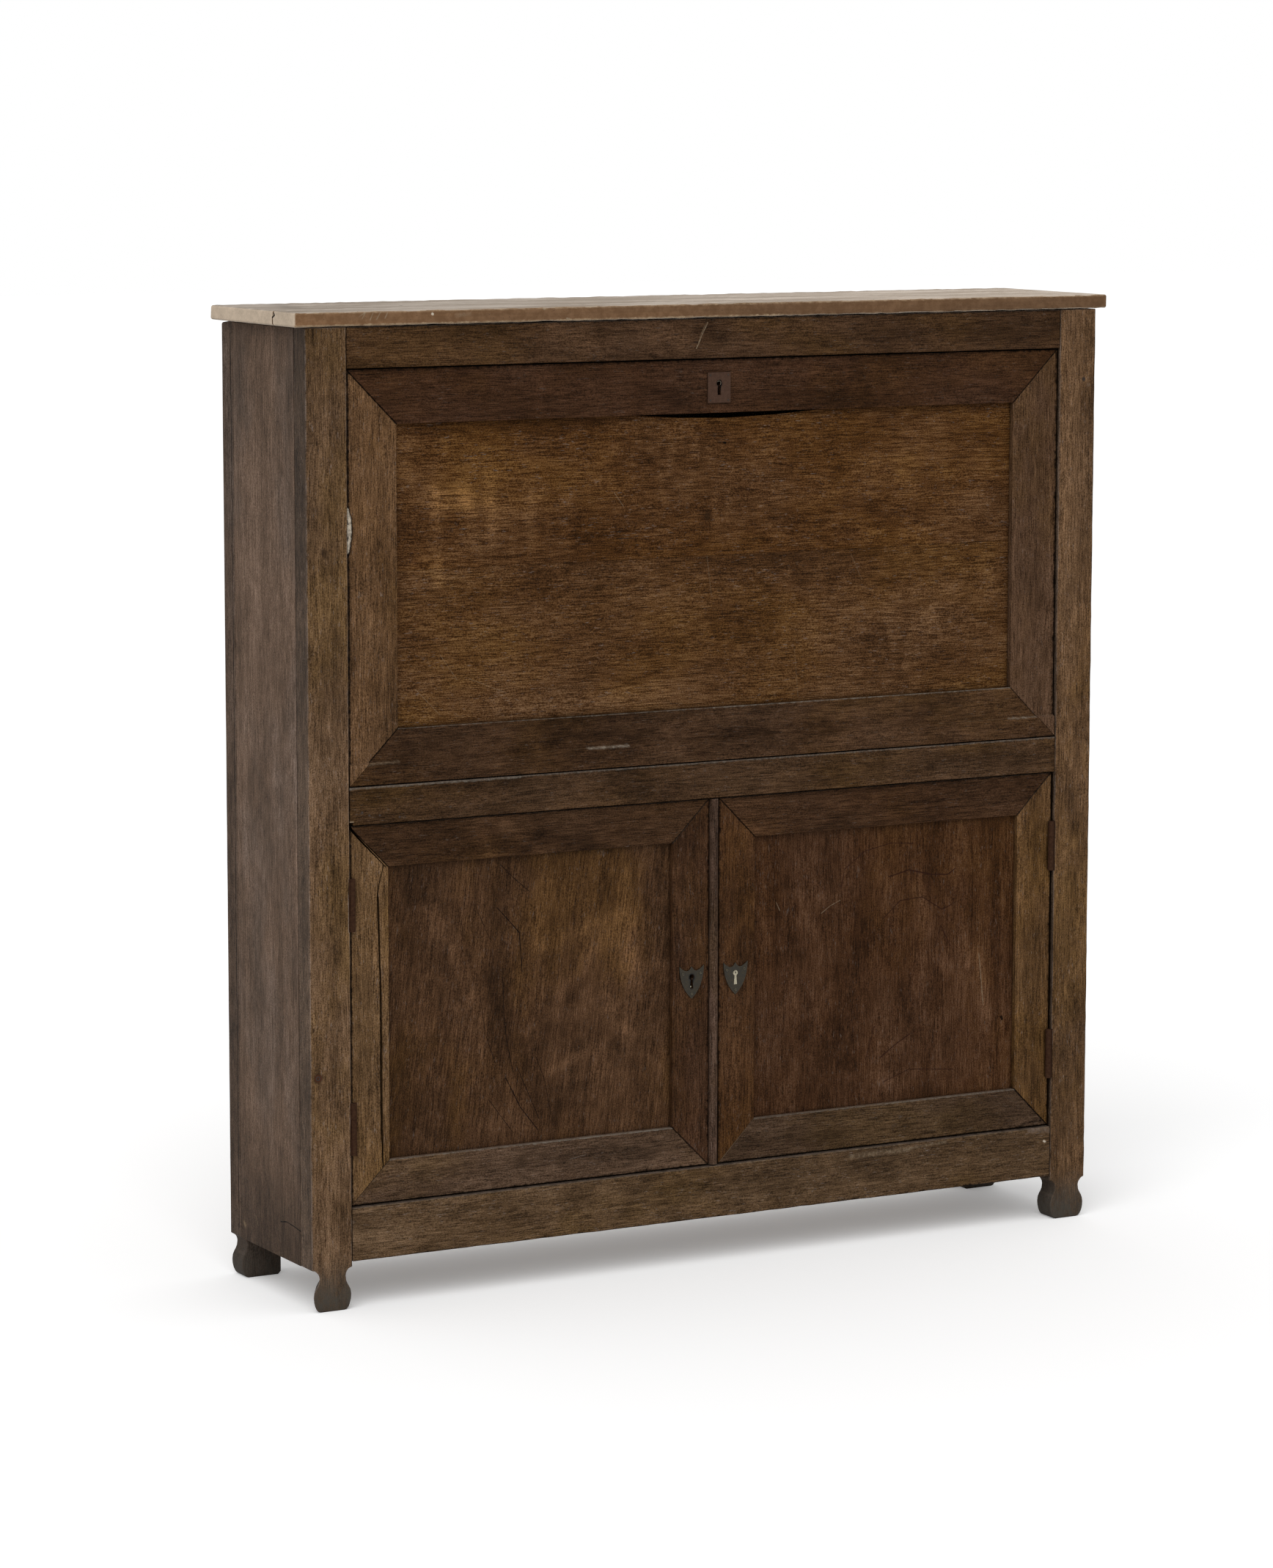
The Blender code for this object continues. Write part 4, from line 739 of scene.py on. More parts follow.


# Marks. A pen is a width, a colour, a strength, how soft its edge is and how patchy it is.

# Black painted shade on the faces inside the gaps: round the leaves, along the rails and on the posts' inner
# faces
GAP_SHADE_PEN, GAP_DEEP = (0.012, BLACK, 0.95, 0.15), 0.0064
POST_GAP_PEN, POST_GAP_DEEP = (0.009, BLACK, 0.95, 0.15), 0.01
LEFT_JOINT_PEN, RIGHT_JOINT_PEN = (0.002, BLACK, 0.95, 0.4), (0.002, BLACK, 0.9, 0.4)
SHADOW_PEN, STILE_SHADOW = (0.003, BLACK, 0.9, 0.5, 0.2), 0.0034
UNDER_TOP_PEN = (0.003, BLACK, 0.9, 0.5)
LEDGE_WIDTH, RIGHT_LEDGE_WIDTH = 0.0024, 0.003
MITRE_SOFT, MITRE_PATCHY = 0.4, 0.2
BAND_FORWARD = 0.0015
SIDE_FOOT = 0.07


def points_of(place, line):
    """The places of a line given as pairs of numbers in one row."""
    return [place(*pair) for pair in zip(line[::2], line[1::2])]


def draw(place, *strokes):
    """Strokes on a plane: each is a pen and its lines, a line being x, z, x, z and so on."""
    return tuple(Mark(points_of(place, line), *pen) for pen, *lines in strokes for line in lines)


def rub(place, *smudges):
    """Smudges on a plane: each is a width and a change, and then x, z, x, z and so on."""
    return tuple(Smudge(points_of(place, line), width, change * SMUDGE_FORCE)
                 for width, change, *line in smudges)


def ledge(place, name, strength):
    """Dust along the inner edge of a frame's bottom rail, more of it in the right half."""
    left, right = across(name + "_left_stile")[1], across(name + "_right_stile")[0]
    height = upward(name + "_bottom_rail")[1]
    centre = (left + right) / 2
    return draw(place, ((LEDGE_WIDTH, LEDGE_DUST, strength, 0.6, 0.6), (left, height, right, height)),
                ((RIGHT_LEDGE_WIDTH, LEDGE_DUST, strength, 0.6, 0.7), (centre, height, right, height)))


def frame_lines(y, name, **corners):
    """A frame's mitres, each with a width, a colour and a strength, and painted shade in the gap around its
    outer edges.
    """
    left, right = across(name + "_top_rail")
    low, high = upward(name + "_bottom_rail")[0], upward(name + "_top_rail")[1]
    inner_left, inner_right = across(name + "_left_stile")[1], across(name + "_right_stile")[0]
    inner_low, inner_high = upward(name + "_bottom_rail")[1], upward(name + "_top_rail")[0]
    lines = {"top_left": (left, high, inner_left, inner_high),
             "top_right": (right, high, inner_right, inner_high),
             "bottom_left": (left, low, inner_left, inner_low),
             "bottom_right": (right, low, inner_right, inner_low)}
    around = (left, low, left, high, right, high, right, low, left, low)
    strokes = [((*pen, MITRE_SOFT, MITRE_PATCHY), lines[corner]) for corner, pen in corners.items()]
    return draw(on_front(y), *strokes) + draw(on_front(y + GAP_DEEP), (GAP_SHADE_PEN, around))


def butt_joints(node, high=None):
    """A dark line at each end of a rail, where it meets the posts, and painted shade along each edge that
    faces a gap.
    """
    left, right = OPENING_LEFT, OPENING_RIGHT
    low, high = upward(node)[0], high or upward(node)[1]
    ends = draw(POST, (LEFT_JOINT_PEN, (left, low, left, high)), (RIGHT_JOINT_PEN, (right, low, right, high)))
    return ends + draw(on_front(POST_Y + GAP_DEEP),
                       (GAP_SHADE_PEN, (left, low, right, low), (left, high, right, high)))


def post_gap(x):
    """Painted shade on a post's inner face, behind its arris."""
    return draw(on_front(POST_Y + POST_GAP_DEEP), (POST_GAP_PEN, (x, APRON_TOP, x, UNDER_TOP)))


def left_shadow(place, node):
    """The dark line down a leaf's left stile, just clear of the post that stands before it."""
    (low, high), x = upward(node), OPENING_LEFT + STILE_SHADOW
    return draw(place, (SHADOW_PEN, (x, low, x, high)))


FRAME_LINES = {
    "flap": frame_lines(
        FLAP_Y, "flap", top_left=(0.0021, BLACK, 1.0), top_right=(0.0021, BLACK, 0.9),
        bottom_left=(0.0021, BLACK, 0.9), bottom_right=(0.002, BLACK, 0.5)),
    "left_door": frame_lines(
        DOOR_Y, "left_door", top_left=(0.0018, BLACK, 0.9), top_right=(0.002, BLACK, 0.8),
        bottom_left=(0.0012, CRACK, 0.5), bottom_right=(0.002, BLACK, 0.8)),
    "right_door": frame_lines(
        DOOR_Y, "right_door", top_left=(0.002, BLACK, 0.8), top_right=(0.002, BLACK, 0.8),
        bottom_left=(0.001, PALE, 0.5), bottom_right=(0.002, BLACK, 1.0)),
}

MARKS = {
    "top_rail": butt_joints("top_rail") + draw(
        POST,
        (UNDER_TOP_PEN, (OPENING_LEFT, UNDER_TOP - 0.0003, OPENING_RIGHT, UNDER_TOP - 0.0003)),
        ((0.0016, SCUFF, 0.8, 0.6, 0.5), (-0.015, 1.29, -0.024, 1.273, -0.032, 1.256)),
        ((0.001, PALE, 0.7, 0.6, 0.6), (-0.0185, 1.288, -0.0275, 1.27))),
    "flap_left_stile": left_shadow(FLAP, "flap_left_stile") + draw(
        FLAP,
        ((0.0105, BLACK, 0.9, 0.3), (-0.551, 1.06, -0.547, 1.046, -0.5458, 1.03, -0.55, 1.004)),
        ((0.0072, WHITE, 1.0, 0.3, 0.4), (-0.5505, 1.058, -0.5475, 1.046, -0.5465, 1.03, -0.55, 1.006)),
        ((0.0014, CRACK), (-0.549, 1.046, -0.548, 1.04), (-0.548, 1.024, -0.5488, 1.018))),
    "flap_bottom_rail": ledge(FLAP, "flap", 0.6) + draw(
        on_front(POST_Y + BAND_FORWARD),
        ((0.0045, SCUFF, 0.5, 0.95, 0.6),
         (-0.551, BAND_EDGE - 0.002, -0.505, BAND_EDGE - 0.001, -0.478, BAND_EDGE)),
        ((0.0022, SCUFF, 0.5, 0.7, 0.5), (-0.264, BAND_EDGE, -0.195, BAND_EDGE),
         (0.322, BAND_EDGE, 0.474, BAND_EDGE)),
        ((0.0042, WHITE, 0.38, 0.95, 0.6), (-0.196, BAND_EDGE - 0.0005, -0.135, BAND_EDGE - 0.0005)),
        ((0.004, WHITE, 0.38, 0.95, 0.5), (0.474, BAND_EDGE, 0.518, BAND_EDGE))),
    "middle_rail": butt_joints("middle_rail", MIDDLE_TOP) + draw(
        POST,
        ((0.0034, LEDGE_DUST, 0.8, 0.7, 0.5), (OPENING_LEFT, MIDDLE_TOP - 0.001, -0.3, MIDDLE_TOP - 0.0012)),
        ((0.0026, LEDGE_DUST, 0.6, 0.6, 0.7), (-0.3, MIDDLE_TOP - 0.0008, RIGHT_END, MIDDLE_TOP - 0.0008)),
        ((0.0014, SCUFF, 0.8), (-0.553, 0.651, -0.5455, 0.651))),
    "left_door_left_stile": left_shadow(DOOR, "left_door_left_stile") + draw(
        DOOR, ((0.0011, CRACK), (-0.499, 0.59, -0.5046, 0.57, -0.508, 0.553))),
    "left_door_bottom_rail": ledge(DOOR, "left_door", 0.9),
    "left_door_panel": draw(
        PANEL,
        ((0.0008, CRACK, 0.8, 0.6), (-0.358, 0.519, -0.3385, 0.477),
         (-0.353, 0.399, -0.3455, 0.349, -0.331, 0.308), (-0.27, 0.312, -0.257, 0.2805, -0.246, 0.229)),
        ((0.0008, CRACK, 0.9, 0.6), (-0.341, 0.259, -0.304, 0.21)),
        ((0.0009, CRACK, 0.9, 0.6), (-0.321, 0.575, -0.303, 0.557, -0.279, 0.537),
         (-0.298, 0.2995, -0.265, 0.226)),
        ((0.001, CRACK, 0.9, 0.6), (-0.319, 0.423, -0.318, 0.376, -0.3135, 0.336, -0.304, 0.293)),
        ((0.0012, CRACK, 1.0, 0.6),
         (-0.327, 0.518, -0.303, 0.492, -0.294, 0.482, -0.292, 0.454, -0.29, 0.429),
         (-0.315, 0.286, -0.293, 0.244, -0.267, 0.211))),
    "right_door_bottom_rail": ledge(DOOR, "right_door", 0.6) + draw(
        DOOR, ((0.004, BLACK, 0.9, 0.7, 0.7), (0.502, 0.1395, 0.521, 0.144, 0.539, 0.1445))),
    "right_door_panel": draw(
        PANEL,
        ((0.0014, RED_BROWN, 0.7, 0.6), (0.208, 0.503, 0.214, 0.53, 0.247, 0.553, 0.289, 0.561, 0.325, 0.558),
         (0.363, 0.408, 0.372, 0.438, 0.388, 0.408)),
        ((0.0016, RED_BROWN, 0.9, 0.6),
         (0.286, 0.514, 0.319, 0.521, 0.3555, 0.512, 0.383, 0.51, 0.3955, 0.518)),
        ((0.0014, RED_BROWN, 0.8, 0.6),
         (0.278, 0.456, 0.305, 0.479, 0.341, 0.481, 0.374, 0.461, 0.39, 0.467)),
        ((0.0016, RED_BROWN, 0.8, 0.6), (0.274, 0.259, 0.298, 0.275, 0.322, 0.288)),
        ((0.0013, RED_BROWN, 0.7, 0.6), (0.25, 0.258, 0.264, 0.304),
         (0.28, 0.224, 0.322, 0.238, 0.395, 0.231)),
        ((0.0014, SCUFF, 0.6, 0.7, 0.5), (0.436, 0.393, 0.444, 0.319)),
        ((0.004, BLACK, 0.9, 0.5), (0.475, 0.2985, 0.476, 0.296)),
        ((0.001, SCUFF, 0.6, 0.6, 0.5), (0.1765, 0.471, 0.19, 0.48, 0.207, 0.487)),
        ((0.001, SCUFF, 0.6, 0.6, 0.4), (0.104, 0.492, 0.11, 0.48))),
    "bottom_rail": butt_joints("bottom_rail") + draw(
        POST,
        ((0.0018, PALE, 0.7, 0.6, 0.7),
         (OPENING_LEFT, APRON_TOP - 0.0006, OPENING_RIGHT, APRON_TOP - 0.0006)),
        ((0.007, SCUFF, 0.45, 0.8, 0.7), (0.218, 0.126, 0.266, 0.1265, 0.3145, 0.1275)),
        ((0.0035, SCUFF, 0.45, 0.8, 0.7), (0.3145, 0.128, 0.375, 0.131)),
        ((0.007, DUST, 0.8, 0.8, 0.6), (0.517, 0.1335, 0.548, 0.1305)),
        ((0.003, WHITE, 0.9, 0.5), (0.54, 0.1155, 0.542, 0.1145))),
    "front_post_left": post_gap(OPENING_LEFT) + draw(
        POST,
        ((0.013, SHADOW, 0.7, 0.4), (-0.5992, 0.315, -0.5988, 0.3142)),
        ((0.01, PEG, 0.9, 0.3), (-0.5988, 0.3148, -0.5984, 0.3142)),
        ((0.008, SHADOW, 0.6, 0.8), (-0.585, 1.006, -0.583, 1.001)),
        ((0.003, SHADOW, 0.8), (-0.605, 0.381, -0.605, 0.378)),
        ((0.0025, SHADOW, 0.8), (-0.594, 1.148, -0.594, 1.145))),
    "front_post_right": post_gap(OPENING_RIGHT) + draw(
        POST,
        ((0.003, SHADOW, 0.8), (0.55, 0.479, 0.55, 0.478), (0.544, 0.597, 0.544, 0.596)),
        ((0.0025, SHADOW, 0.8), (0.549, 0.497, 0.549, 0.496))),
    "back_post_left": draw(SIDE, ((0.0016, BLACK, 0.9, 0.5), (SIDE_BACK, SIDE_FOOT, SIDE_BACK, UNDER_TOP))),
    "side_panel_left": draw(
        SIDE,
        ((0.0036, BLACK, 0.95, 0.4), (SIDE_BACK, SIDE_FOOT, SIDE_BACK, UNDER_TOP)),
        ((0.0016, CRACK, 0.8, 0.5), (SIDE_FRONT, SIDE_FOOT, SIDE_FRONT, UNDER_TOP)),
        ((0.0016, SHADOW, 0.5, 0.8, 0.4), (-0.098, SIDE_FOOT, -0.098, UNDER_TOP)),
        (UNDER_TOP_PEN, (-0.118, UNDER_TOP - 0.0004, 0.12, UNDER_TOP - 0.0004)),
        ((0.0014, BLACK), (-0.031, 0.105, -0.05, 0.1085, -0.071, 0.107, -0.093, 0.1045, -0.123, 0.1065)),
        ((0.001, PALE, 0.8), (0.049, 0.097, 0.042, 0.085)),
        ((0.006, PALE, 0.7, 0.8, 0.4), (0.086, 0.079, 0.083, 0.077)),
        ((0.0012, CRACK, 0.9, 0.5, 0.3), (-0.115, 0.25, -0.113, 0.07))),
    "top_board": draw(
        TOP_END,
        ((0.0026, BLACK, 1.0, 0.4),
         (-0.065, TOP_Z, -0.0714, TOP_Z - 0.006, -0.064, TOP_Z - 0.009, -0.0667, TOP_Z - 0.019))) + draw(
        TOP_FACE,
        ((0.0014, SCUFF, 0.85, 0.6, 0.3), (-0.5341, 1.3086, -0.524, 1.315),
         (-0.5184, 1.3045, -0.513, 1.3158)),
        ((0.0013, SCUFF, 0.85, 0.6, 0.3), (-0.53, 1.306, -0.5235, 1.316), (-0.509, 1.305, -0.5025, 1.3155),
         (-0.4973, 1.3059, -0.493, 1.314)),
        ((0.003, WHITE, 1.0, 0.4), (-0.4287, 1.3101, -0.4283, 1.3099)),
        ((0.003, SCUFF, 0.9, 0.4), (-0.2655, 1.3144, -0.264, 1.314), (-0.2305, 1.3, -0.2275, 1.299),
         (-0.203, 1.2975, -0.2, 1.297)),
        ((0.005, SCUFF, 0.4, 0.8, 0.6), (-0.393, 1.3075, -0.374, 1.3092)),
        ((0.0034, EDGE_CREAM, 0.9, 0.5, 0.5), (-0.6265, UNDER_TOP + 0.0012, 0.1, UNDER_TOP + 0.0012)),
        ((0.0026, EDGE_CREAM, 0.6, 0.5, 0.6), (0.1, UNDER_TOP + 0.0008, 0.6265, UNDER_TOP + 0.0008)),
        ((0.0034, EDGE_CREAM, 0.7, 0.8, 0.5), (-0.6265, TOP_Z - 0.0006, 0.6265, TOP_Z - 0.0006))) + draw(
        on_top,
        ((0.0045, CRACK, 0.9, 0.5), (-0.4272, 0.1123, -0.4252, 0.1123), (-0.4103, 0.002, -0.4083, 0.002)),
        ((0.03, SHADOW, 0.25, 0.9), (-0.5391, 0.105, -0.5723, -0.0134))),
    "flap_lower_panel": draw(
        FLAP_PANEL,
        ((0.012, SHADOW, 0.6, 0.8), (-0.0066, 1.0296, -0.0062, 1.0292)),
        ((0.0032, BLACK, 1.0, 0.4), (0.0185, 1.1268, 0.0205, 1.1264)),
        ((0.0007, SCUFF, 0.5, 0.7, 0.5), (-0.411, 0.862, -0.386, 0.8275), (-0.447, 0.818, -0.411, 0.782),
         (-0.368, 0.828, -0.313, 0.806)),
        ((0.0012, SCUFF, 0.2, 0.8, 0.5), (0.131, 0.841, 0.137, 0.775)),
        ((0.0016, SCUFF, 0.2, 0.8, 0.5), (-0.007, 0.974, -0.0002, 0.921)),
        ((0.0008, SCUFF, 0.6, 0.7, 0.3), (-0.15, 1.066, -0.136, 1.047)),
        ((0.0014, SCUFF, 0.2, 0.8, 0.5), (0.22, 0.968, 0.238, 0.932))),
}
MARKS["flap_upper_panel"] = MARKS["flap_lower_panel"]
for leaf, lines in FRAME_LINES.items():
    for member in ("left_stile", "top_rail", "right_stile", "bottom_rail"):
        MARKS[f"{leaf}_{member}"] = lines + MARKS.get(f"{leaf}_{member}", ())

SMUDGES = {
    "flap_lower_panel": rub(
        FLAP_PANEL,
        (0.034, 0.45, -0.415, 1.07, -0.36, 1.055, -0.325, 1.045), (0.02, 0.5, -0.374, 1.09, -0.366, 1.02),
        (0.014, 0.45, -0.336, 1.095, -0.336, 1.005), (0.014, 0.4, -0.4165, 1.08, -0.4137, 0.958),
        (0.014, 0.35, -0.279, 1.08, -0.276, 1.000), (0.034, 0.5, 0.237, 1.078, 0.296, 1.09, 0.313, 1.053),
        (0.024, 0.3, 0.15, 0.857, 0.186, 0.847), (0.06, 0.2, -0.457, 0.833, -0.258, 0.813, -0.035, 0.786),
        (0.02, 0.25, 0.445, 0.955, 0.448, 0.899), (0.06, -0.16, -0.208, 1.001, -0.036, 0.976, 0.281, 0.953),
        (0.022, -0.3, -0.456, 1.16, -0.189, 1.156), (0.036, -0.28, -0.269, 0.95, -0.249, 0.949),
        (0.026, -0.2, -0.138, 1.105, -0.036, 1.107), (0.06, -0.25, 0.017, 0.892, 0.069, 0.889)),
    "top_rail": rub(
        POST,
        (0.03, 0.3, -0.243, 1.287, -0.199, 1.265), (0.026, 0.25, -0.111, 1.28, -0.055, 1.269)),
    "left_door_top_rail": rub(
        DOOR,
        (0.018, 0.35, -0.362, 0.638, -0.34, 0.592), (0.018, 0.4, -0.318, 0.63, -0.263, 0.587),
        (0.014, -0.35, -0.263, 0.621, -0.285, 0.598)),
    "left_door_panel": rub(
        PANEL,
        (0.022, 0.45, -0.259, 0.461, -0.203, 0.476, -0.147, 0.497),
        (0.018, 0.5, -0.231, 0.394, -0.198, 0.431, -0.158, 0.473),
        (0.022, 0.45, -0.136, 0.546, -0.13, 0.45, -0.119, 0.399),
        (0.018, 0.35, -0.423, 0.519, -0.391, 0.457, -0.37, 0.401), (0.036, 0.3, -0.248, 0.53, -0.226, 0.518),
        (0.026, 0.35, -0.147, 0.361, -0.113, 0.307), (0.01, 0.3, -0.353, 0.369, -0.348, 0.229),
        (0.014, 0.3, -0.248, 0.29, -0.169, 0.318, -0.136, 0.34), (0.034, -0.3, -0.326, 0.417, -0.298, 0.3)),
    "right_door_panel": rub(
        PANEL,
        (0.018, 0.4, 0.43, 0.394, 0.449, 0.308), (0.022, 0.4, 0.141, 0.464, 0.171, 0.446),
        (0.02, 0.25, 0.332, 0.501, 0.357, 0.421), (0.016, 0.35, 0.357, 0.395, 0.387, 0.376),
        (0.04, -0.22, 0.236, 0.431, 0.208, 0.278)),
}
SMUDGES["flap_upper_panel"] = SMUDGES["flap_lower_panel"]


# Materials of the nodes

KEYHOLE_RISE, FLAP_KEYHOLE_RISE = 0.0297, 0.0266


def keyhole(node, rise):
    """Where a plate's keyhole is: its x, the plane of the plate's front, and its z."""
    return middle(node)[0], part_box(node)[0][1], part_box(node)[0][2] + rise


def keyhole_marks(node, rise, round_width, slot_width, lean, drop):
    """The dark of a keyhole: its round top, and the slot below it, leaning a little to the left."""
    x, y, z = keyhole(node, rise)
    return draw(on_front(y), ((round_width, BLACK, 1.0, 0.2), (x, z + 0.0002, x, z - 0.0002)),
                ((slot_width, BLACK, 1.0, 0.2), (x, z, x - lean, z - drop)))


def finish_nodes():
    iron = old_metal("rusty_iron", linear(50, 36, 27), linear(66, 46, 34), 0.4, 0.6)
    hinge_iron = old_metal("hinge_iron", linear(52, 33, 23), linear(64, 44, 31), 0.0, 0.8, rim=1.3,
                           shine=0.05)
    bronze = old_metal("dull_bronze", linear(44, 40, 32), linear(60, 53, 40), 0.4, 0.6, rim=5.0,
                       marks=keyhole_marks("left_escutcheon", KEYHOLE_RISE, 0.0098, 0.0058, 0.0002, 0.014))
    copper = old_metal("brown_plate", linear(68, 48, 37), linear(77, 56, 44), 0.0, 0.55, rim=1.2, shine=0.1,
                       marks=keyhole_marks("flap_keyhole_plate", FLAP_KEYHOLE_RISE,
                                           0.0092, 0.005, 0.0004, 0.0125))
    metals = {"left_escutcheon": bronze, "right_escutcheon": bronze, "flap_keyhole_plate": copper}
    for seed, node in enumerate(sorted(NODES), 1):
        if node == "top_board":
            material = top_wood()
        elif node in LOOKS:
            material = oak(node + "_oak", LOOKS[node], seed, MARKS.get(node, ()), SMUDGES.get(node, ()))
        elif node.startswith(("back_board", "cupboard", "desk", "writing")):
            material = oak(node + "_wood", BACK_LOOK if node.startswith("back") else INNER_LOOK, seed)
        else:
            material = hinge_iron if node.startswith("hinge") else metals.get(node, iron)
        NODES[node].data.materials.clear()
        NODES[node].data.materials.append(material)


# Wear of each board, and its cracks as (across, up, width)

POST_WEAR = Wear(0.0011, 0.0008)
FRAME_WEAR = Wear(0.0007, 0.0005)
SLIGHT_WEAR = Wear(0.0006, 0.0003, 0.04)
WEARS = {
    "front_post_left": POST_WEAR, "front_post_right": POST_WEAR,
    "back_post_left": SLIGHT_WEAR, "back_post_right": SLIGHT_WEAR,
    "side_panel_left": SLIGHT_WEAR, "side_panel_right": SLIGHT_WEAR,
    "bottom_rail": Wear(0.001, 0.0009), "top_board": Wear(0.0013, 0.0014, 0.009),
    "meeting_bead": Wear(0.0005, 0.0003, 0.02),
}
WEARS.update({node: FRAME_WEAR for node in LOOKS if node.endswith(("_stile", "_rail")) and node not in WEARS})

STILE_CRACK = ((-0.4985, 0.5905, 0.001), (-0.5046, 0.57, 0.0012), (-0.508, 0.553, 0.0018),
               (-0.5075, 0.545, 0.0034), (-0.506, 0.4825, 0.003), (-0.5045, 0.433, 0.0026),
               (-0.504, 0.374, 0.0034), (-0.504, 0.3055, 0.004), (-0.5036, 0.236, 0.0038),
               (-0.502, 0.183, 0.0014))
MITRE_GAP = ((-0.55, 0.645, 0.004), (-0.533, 0.625, 0.0026), (-0.511, 0.6025, 0.0018),
             (-0.495, 0.586, 0.0008))
END_SPLIT = ((-0.065, TOP_Z + 0.001, 0.0024), (-0.0668, TOP_Z - 0.006, 0.0016),
             (-0.0642, TOP_Z - 0.011, 0.002), (-0.0656, TOP_Z - 0.021, 0.0014))
SQUARE_HOLE = ((-0.548, 0.641, 0.0055), (-0.548, 0.65, 0.0055))
MITRE_CUTS = ((DOOR, MITRE_GAP, 0.014), (DOOR, SQUARE_HOLE, 0.012))
CUTS = {
    "left_door_left_stile": ((DOOR, STILE_CRACK, 0.012), *MITRE_CUTS),
    "left_door_top_rail": MITRE_CUTS,
    "middle_rail": ((POST, SQUARE_HOLE, 0.016),),
    "top_board": ((TOP_END, END_SPLIT, 0.02),),
}


def wear_boards():
    for node, wear in WEARS.items():
        cutters = [crack_cutter(place, path, depth) for place, path, depth in CUTS.get(node, ())]
        worn_copy(node, wear, NODES[node].data.materials[0], cutters)


# Nails, screws and what is in the keyholes

PLATE_NAIL_INSET, PLATE_NAIL = 0.0036, 0.0015
SHIELD_NAIL_INSET, SHIELD_NAIL_DROP, SHIELD_NAIL_RISE, SHIELD_NAIL = 0.0052, 0.0105, 0.0065, 0.0021
SHIELD_FORWARD = 0.0012
WIRE_BEND, WIRE_SUNK = 0.0028, 0.0008
CRUMB, CRUMB_LEFT, CRUMB_SUNK, CRUMB_DROP = 0.0013, 0.0006, 0.0024, 0.0135
PUTTY_SUNK = 0.0005
RAIL_NAIL, RAIL_NAIL_SUNK = 0.0017, 0.0003
RAIL_NAILS = ((-0.5325, 0.6625), (-0.522, 0.658), (-0.507, 0.657), (-0.478, 0.653))
SCREW, SCREW_SHARES = 0.0024, (0.17, 0.5, 0.83)


def plate_nails(iron, bronze):
    """Four small nails in the flap's keyhole plate and three dished ones in each shield."""
    (left, y, low), (right, _, high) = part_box("flap_keyhole_plate")
    for side, x in (("left", left + PLATE_NAIL_INSET), ("right", right - PLATE_NAIL_INSET)):
        for level, z in (("low", low + PLATE_NAIL_INSET), ("high", high - PLATE_NAIL_INSET)):
            turned(f"plate_nail_{side}_{level}", dome(PLATE_NAIL), (x, y, z), FRONT, "flap", iron,
                   "keyhole_plate_metal")
    for door in ("left", "right"):
        (left, y, low), (right, _, high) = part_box(door + "_escutcheon")
        for name, x, z in (("left", left + SHIELD_NAIL_INSET, high - SHIELD_NAIL_DROP),
                           ("right", right - SHIELD_NAIL_INSET, high - SHIELD_NAIL_DROP),
                           ("foot", (left + right) / 2, low + SHIELD_NAIL_RISE)):
            turned(f"{door}_escutcheon_nail_{name}", ring_head(SHIELD_NAIL), (x, y, z), FRONT, door + "_door",
                   bronze, "escutcheon_bronze")


def keyhole_fittings(steel, putty):
    """A bent pale wire, a painted glint, in the flap's keyhole; a crumb in the left door's and putty in the
    right door's.
    """
    x, y, z = keyhole("flap_keyhole_plate", FLAP_KEYHOLE_RISE)
    angles = [math.radians(150 - 18 * step) for step in range(12)]
    bend = [(x + WIRE_BEND * math.cos(a), y + WIRE_SUNK, z + WIRE_BEND * math.sin(a)) for a in angles]
    bent_wire("flap_keyhole_glint_wire", bend, "flap", steel, "iron")
    x, y, z = keyhole("left_escutcheon", KEYHOLE_RISE)
    turned("left_keyhole_crumb", dome(CRUMB), (x - CRUMB_LEFT, y + CRUMB_SUNK, z - CRUMB_DROP), FRONT,
           "left_door", putty, "escutcheon_bronze")
    keyhole_filler("right_keyhole_putty", middle("right_escutcheon")[0], z, y + PUTTY_SUNK, "right_door",
                   putty, "escutcheon_bronze")


def front_nails(iron):
    """Nails in the middle rail and the right post, and a peg in the left one."""
    nails = [(f"middle_rail_nail_{index}", dome(RAIL_NAIL), x, RAIL_NAIL_SUNK, z)
             for index, (x, z) in enumerate(RAIL_NAILS, 1)]
    nails += [("right_post_nail", ring_head(0.0028), 0.591, 0.0004, 1.198),
              ("left_post_peg", ring_head(0.0034), -0.599, 0.0009, 0.3146)]
    for name, profile, x, sunk, z in nails:
        turned(name, profile, (x, POST_Y + sunk, z), FRONT, "carcase", iron, "iron")


def hinge_screws(iron):
    """Three screws in each leaf of each hinge, seen when the door stands open."""
    post_face, door_edge = across("front_post_right")[0], across("right_door_right_stile")[1]
    for side, sign in (("left", -1), ("right", 1)):
        leaves = (("fixed", "carcase", sign * post_face, -sign),
                  ("moving", side + "_door", sign * door_edge, sign))
        for level in ("lower", "upper"):
            low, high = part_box(f"hinge_fixed_{side}_{level}")
            for index, share in enumerate(SCREW_SHARES, 1):
                depth, z = (DOOR_Y + high[1]) / 2, low[2] + (high[2] - low[2]) * share
                for leaf, body, x, way in leaves:
                    slotted_screw(f"{leaf}_{side}_{level}_screw_{index}", (x, depth, z), (way, 0, 0), SCREW,
                                  body, iron, "iron")


def putty_material():
    """Pale putty with a dark pit in it."""
    g = Graph("keyhole_putty")
    grain = g.noise(g.object_place, scale=900.0, detail=4.0)
    colour = g.mix(g.step(grain, 0.35, 0.65), linear(150, 140, 118), linear(196, 188, 164))
    x, _, z = middle("right_escutcheon")
    pit = draw(on_front(DOOR_Y - SHIELD_FORWARD), ((0.0022, BLACK, 0.9), (x, z + 0.008, x, z + 0.0076)))
    colour, _ = draw_marks(g, colour, pit)
    g.shade({"Base Color": colour, "Roughness": 0.9})
    g.bump(grain, 0.5, 0.0003)
    return g.material


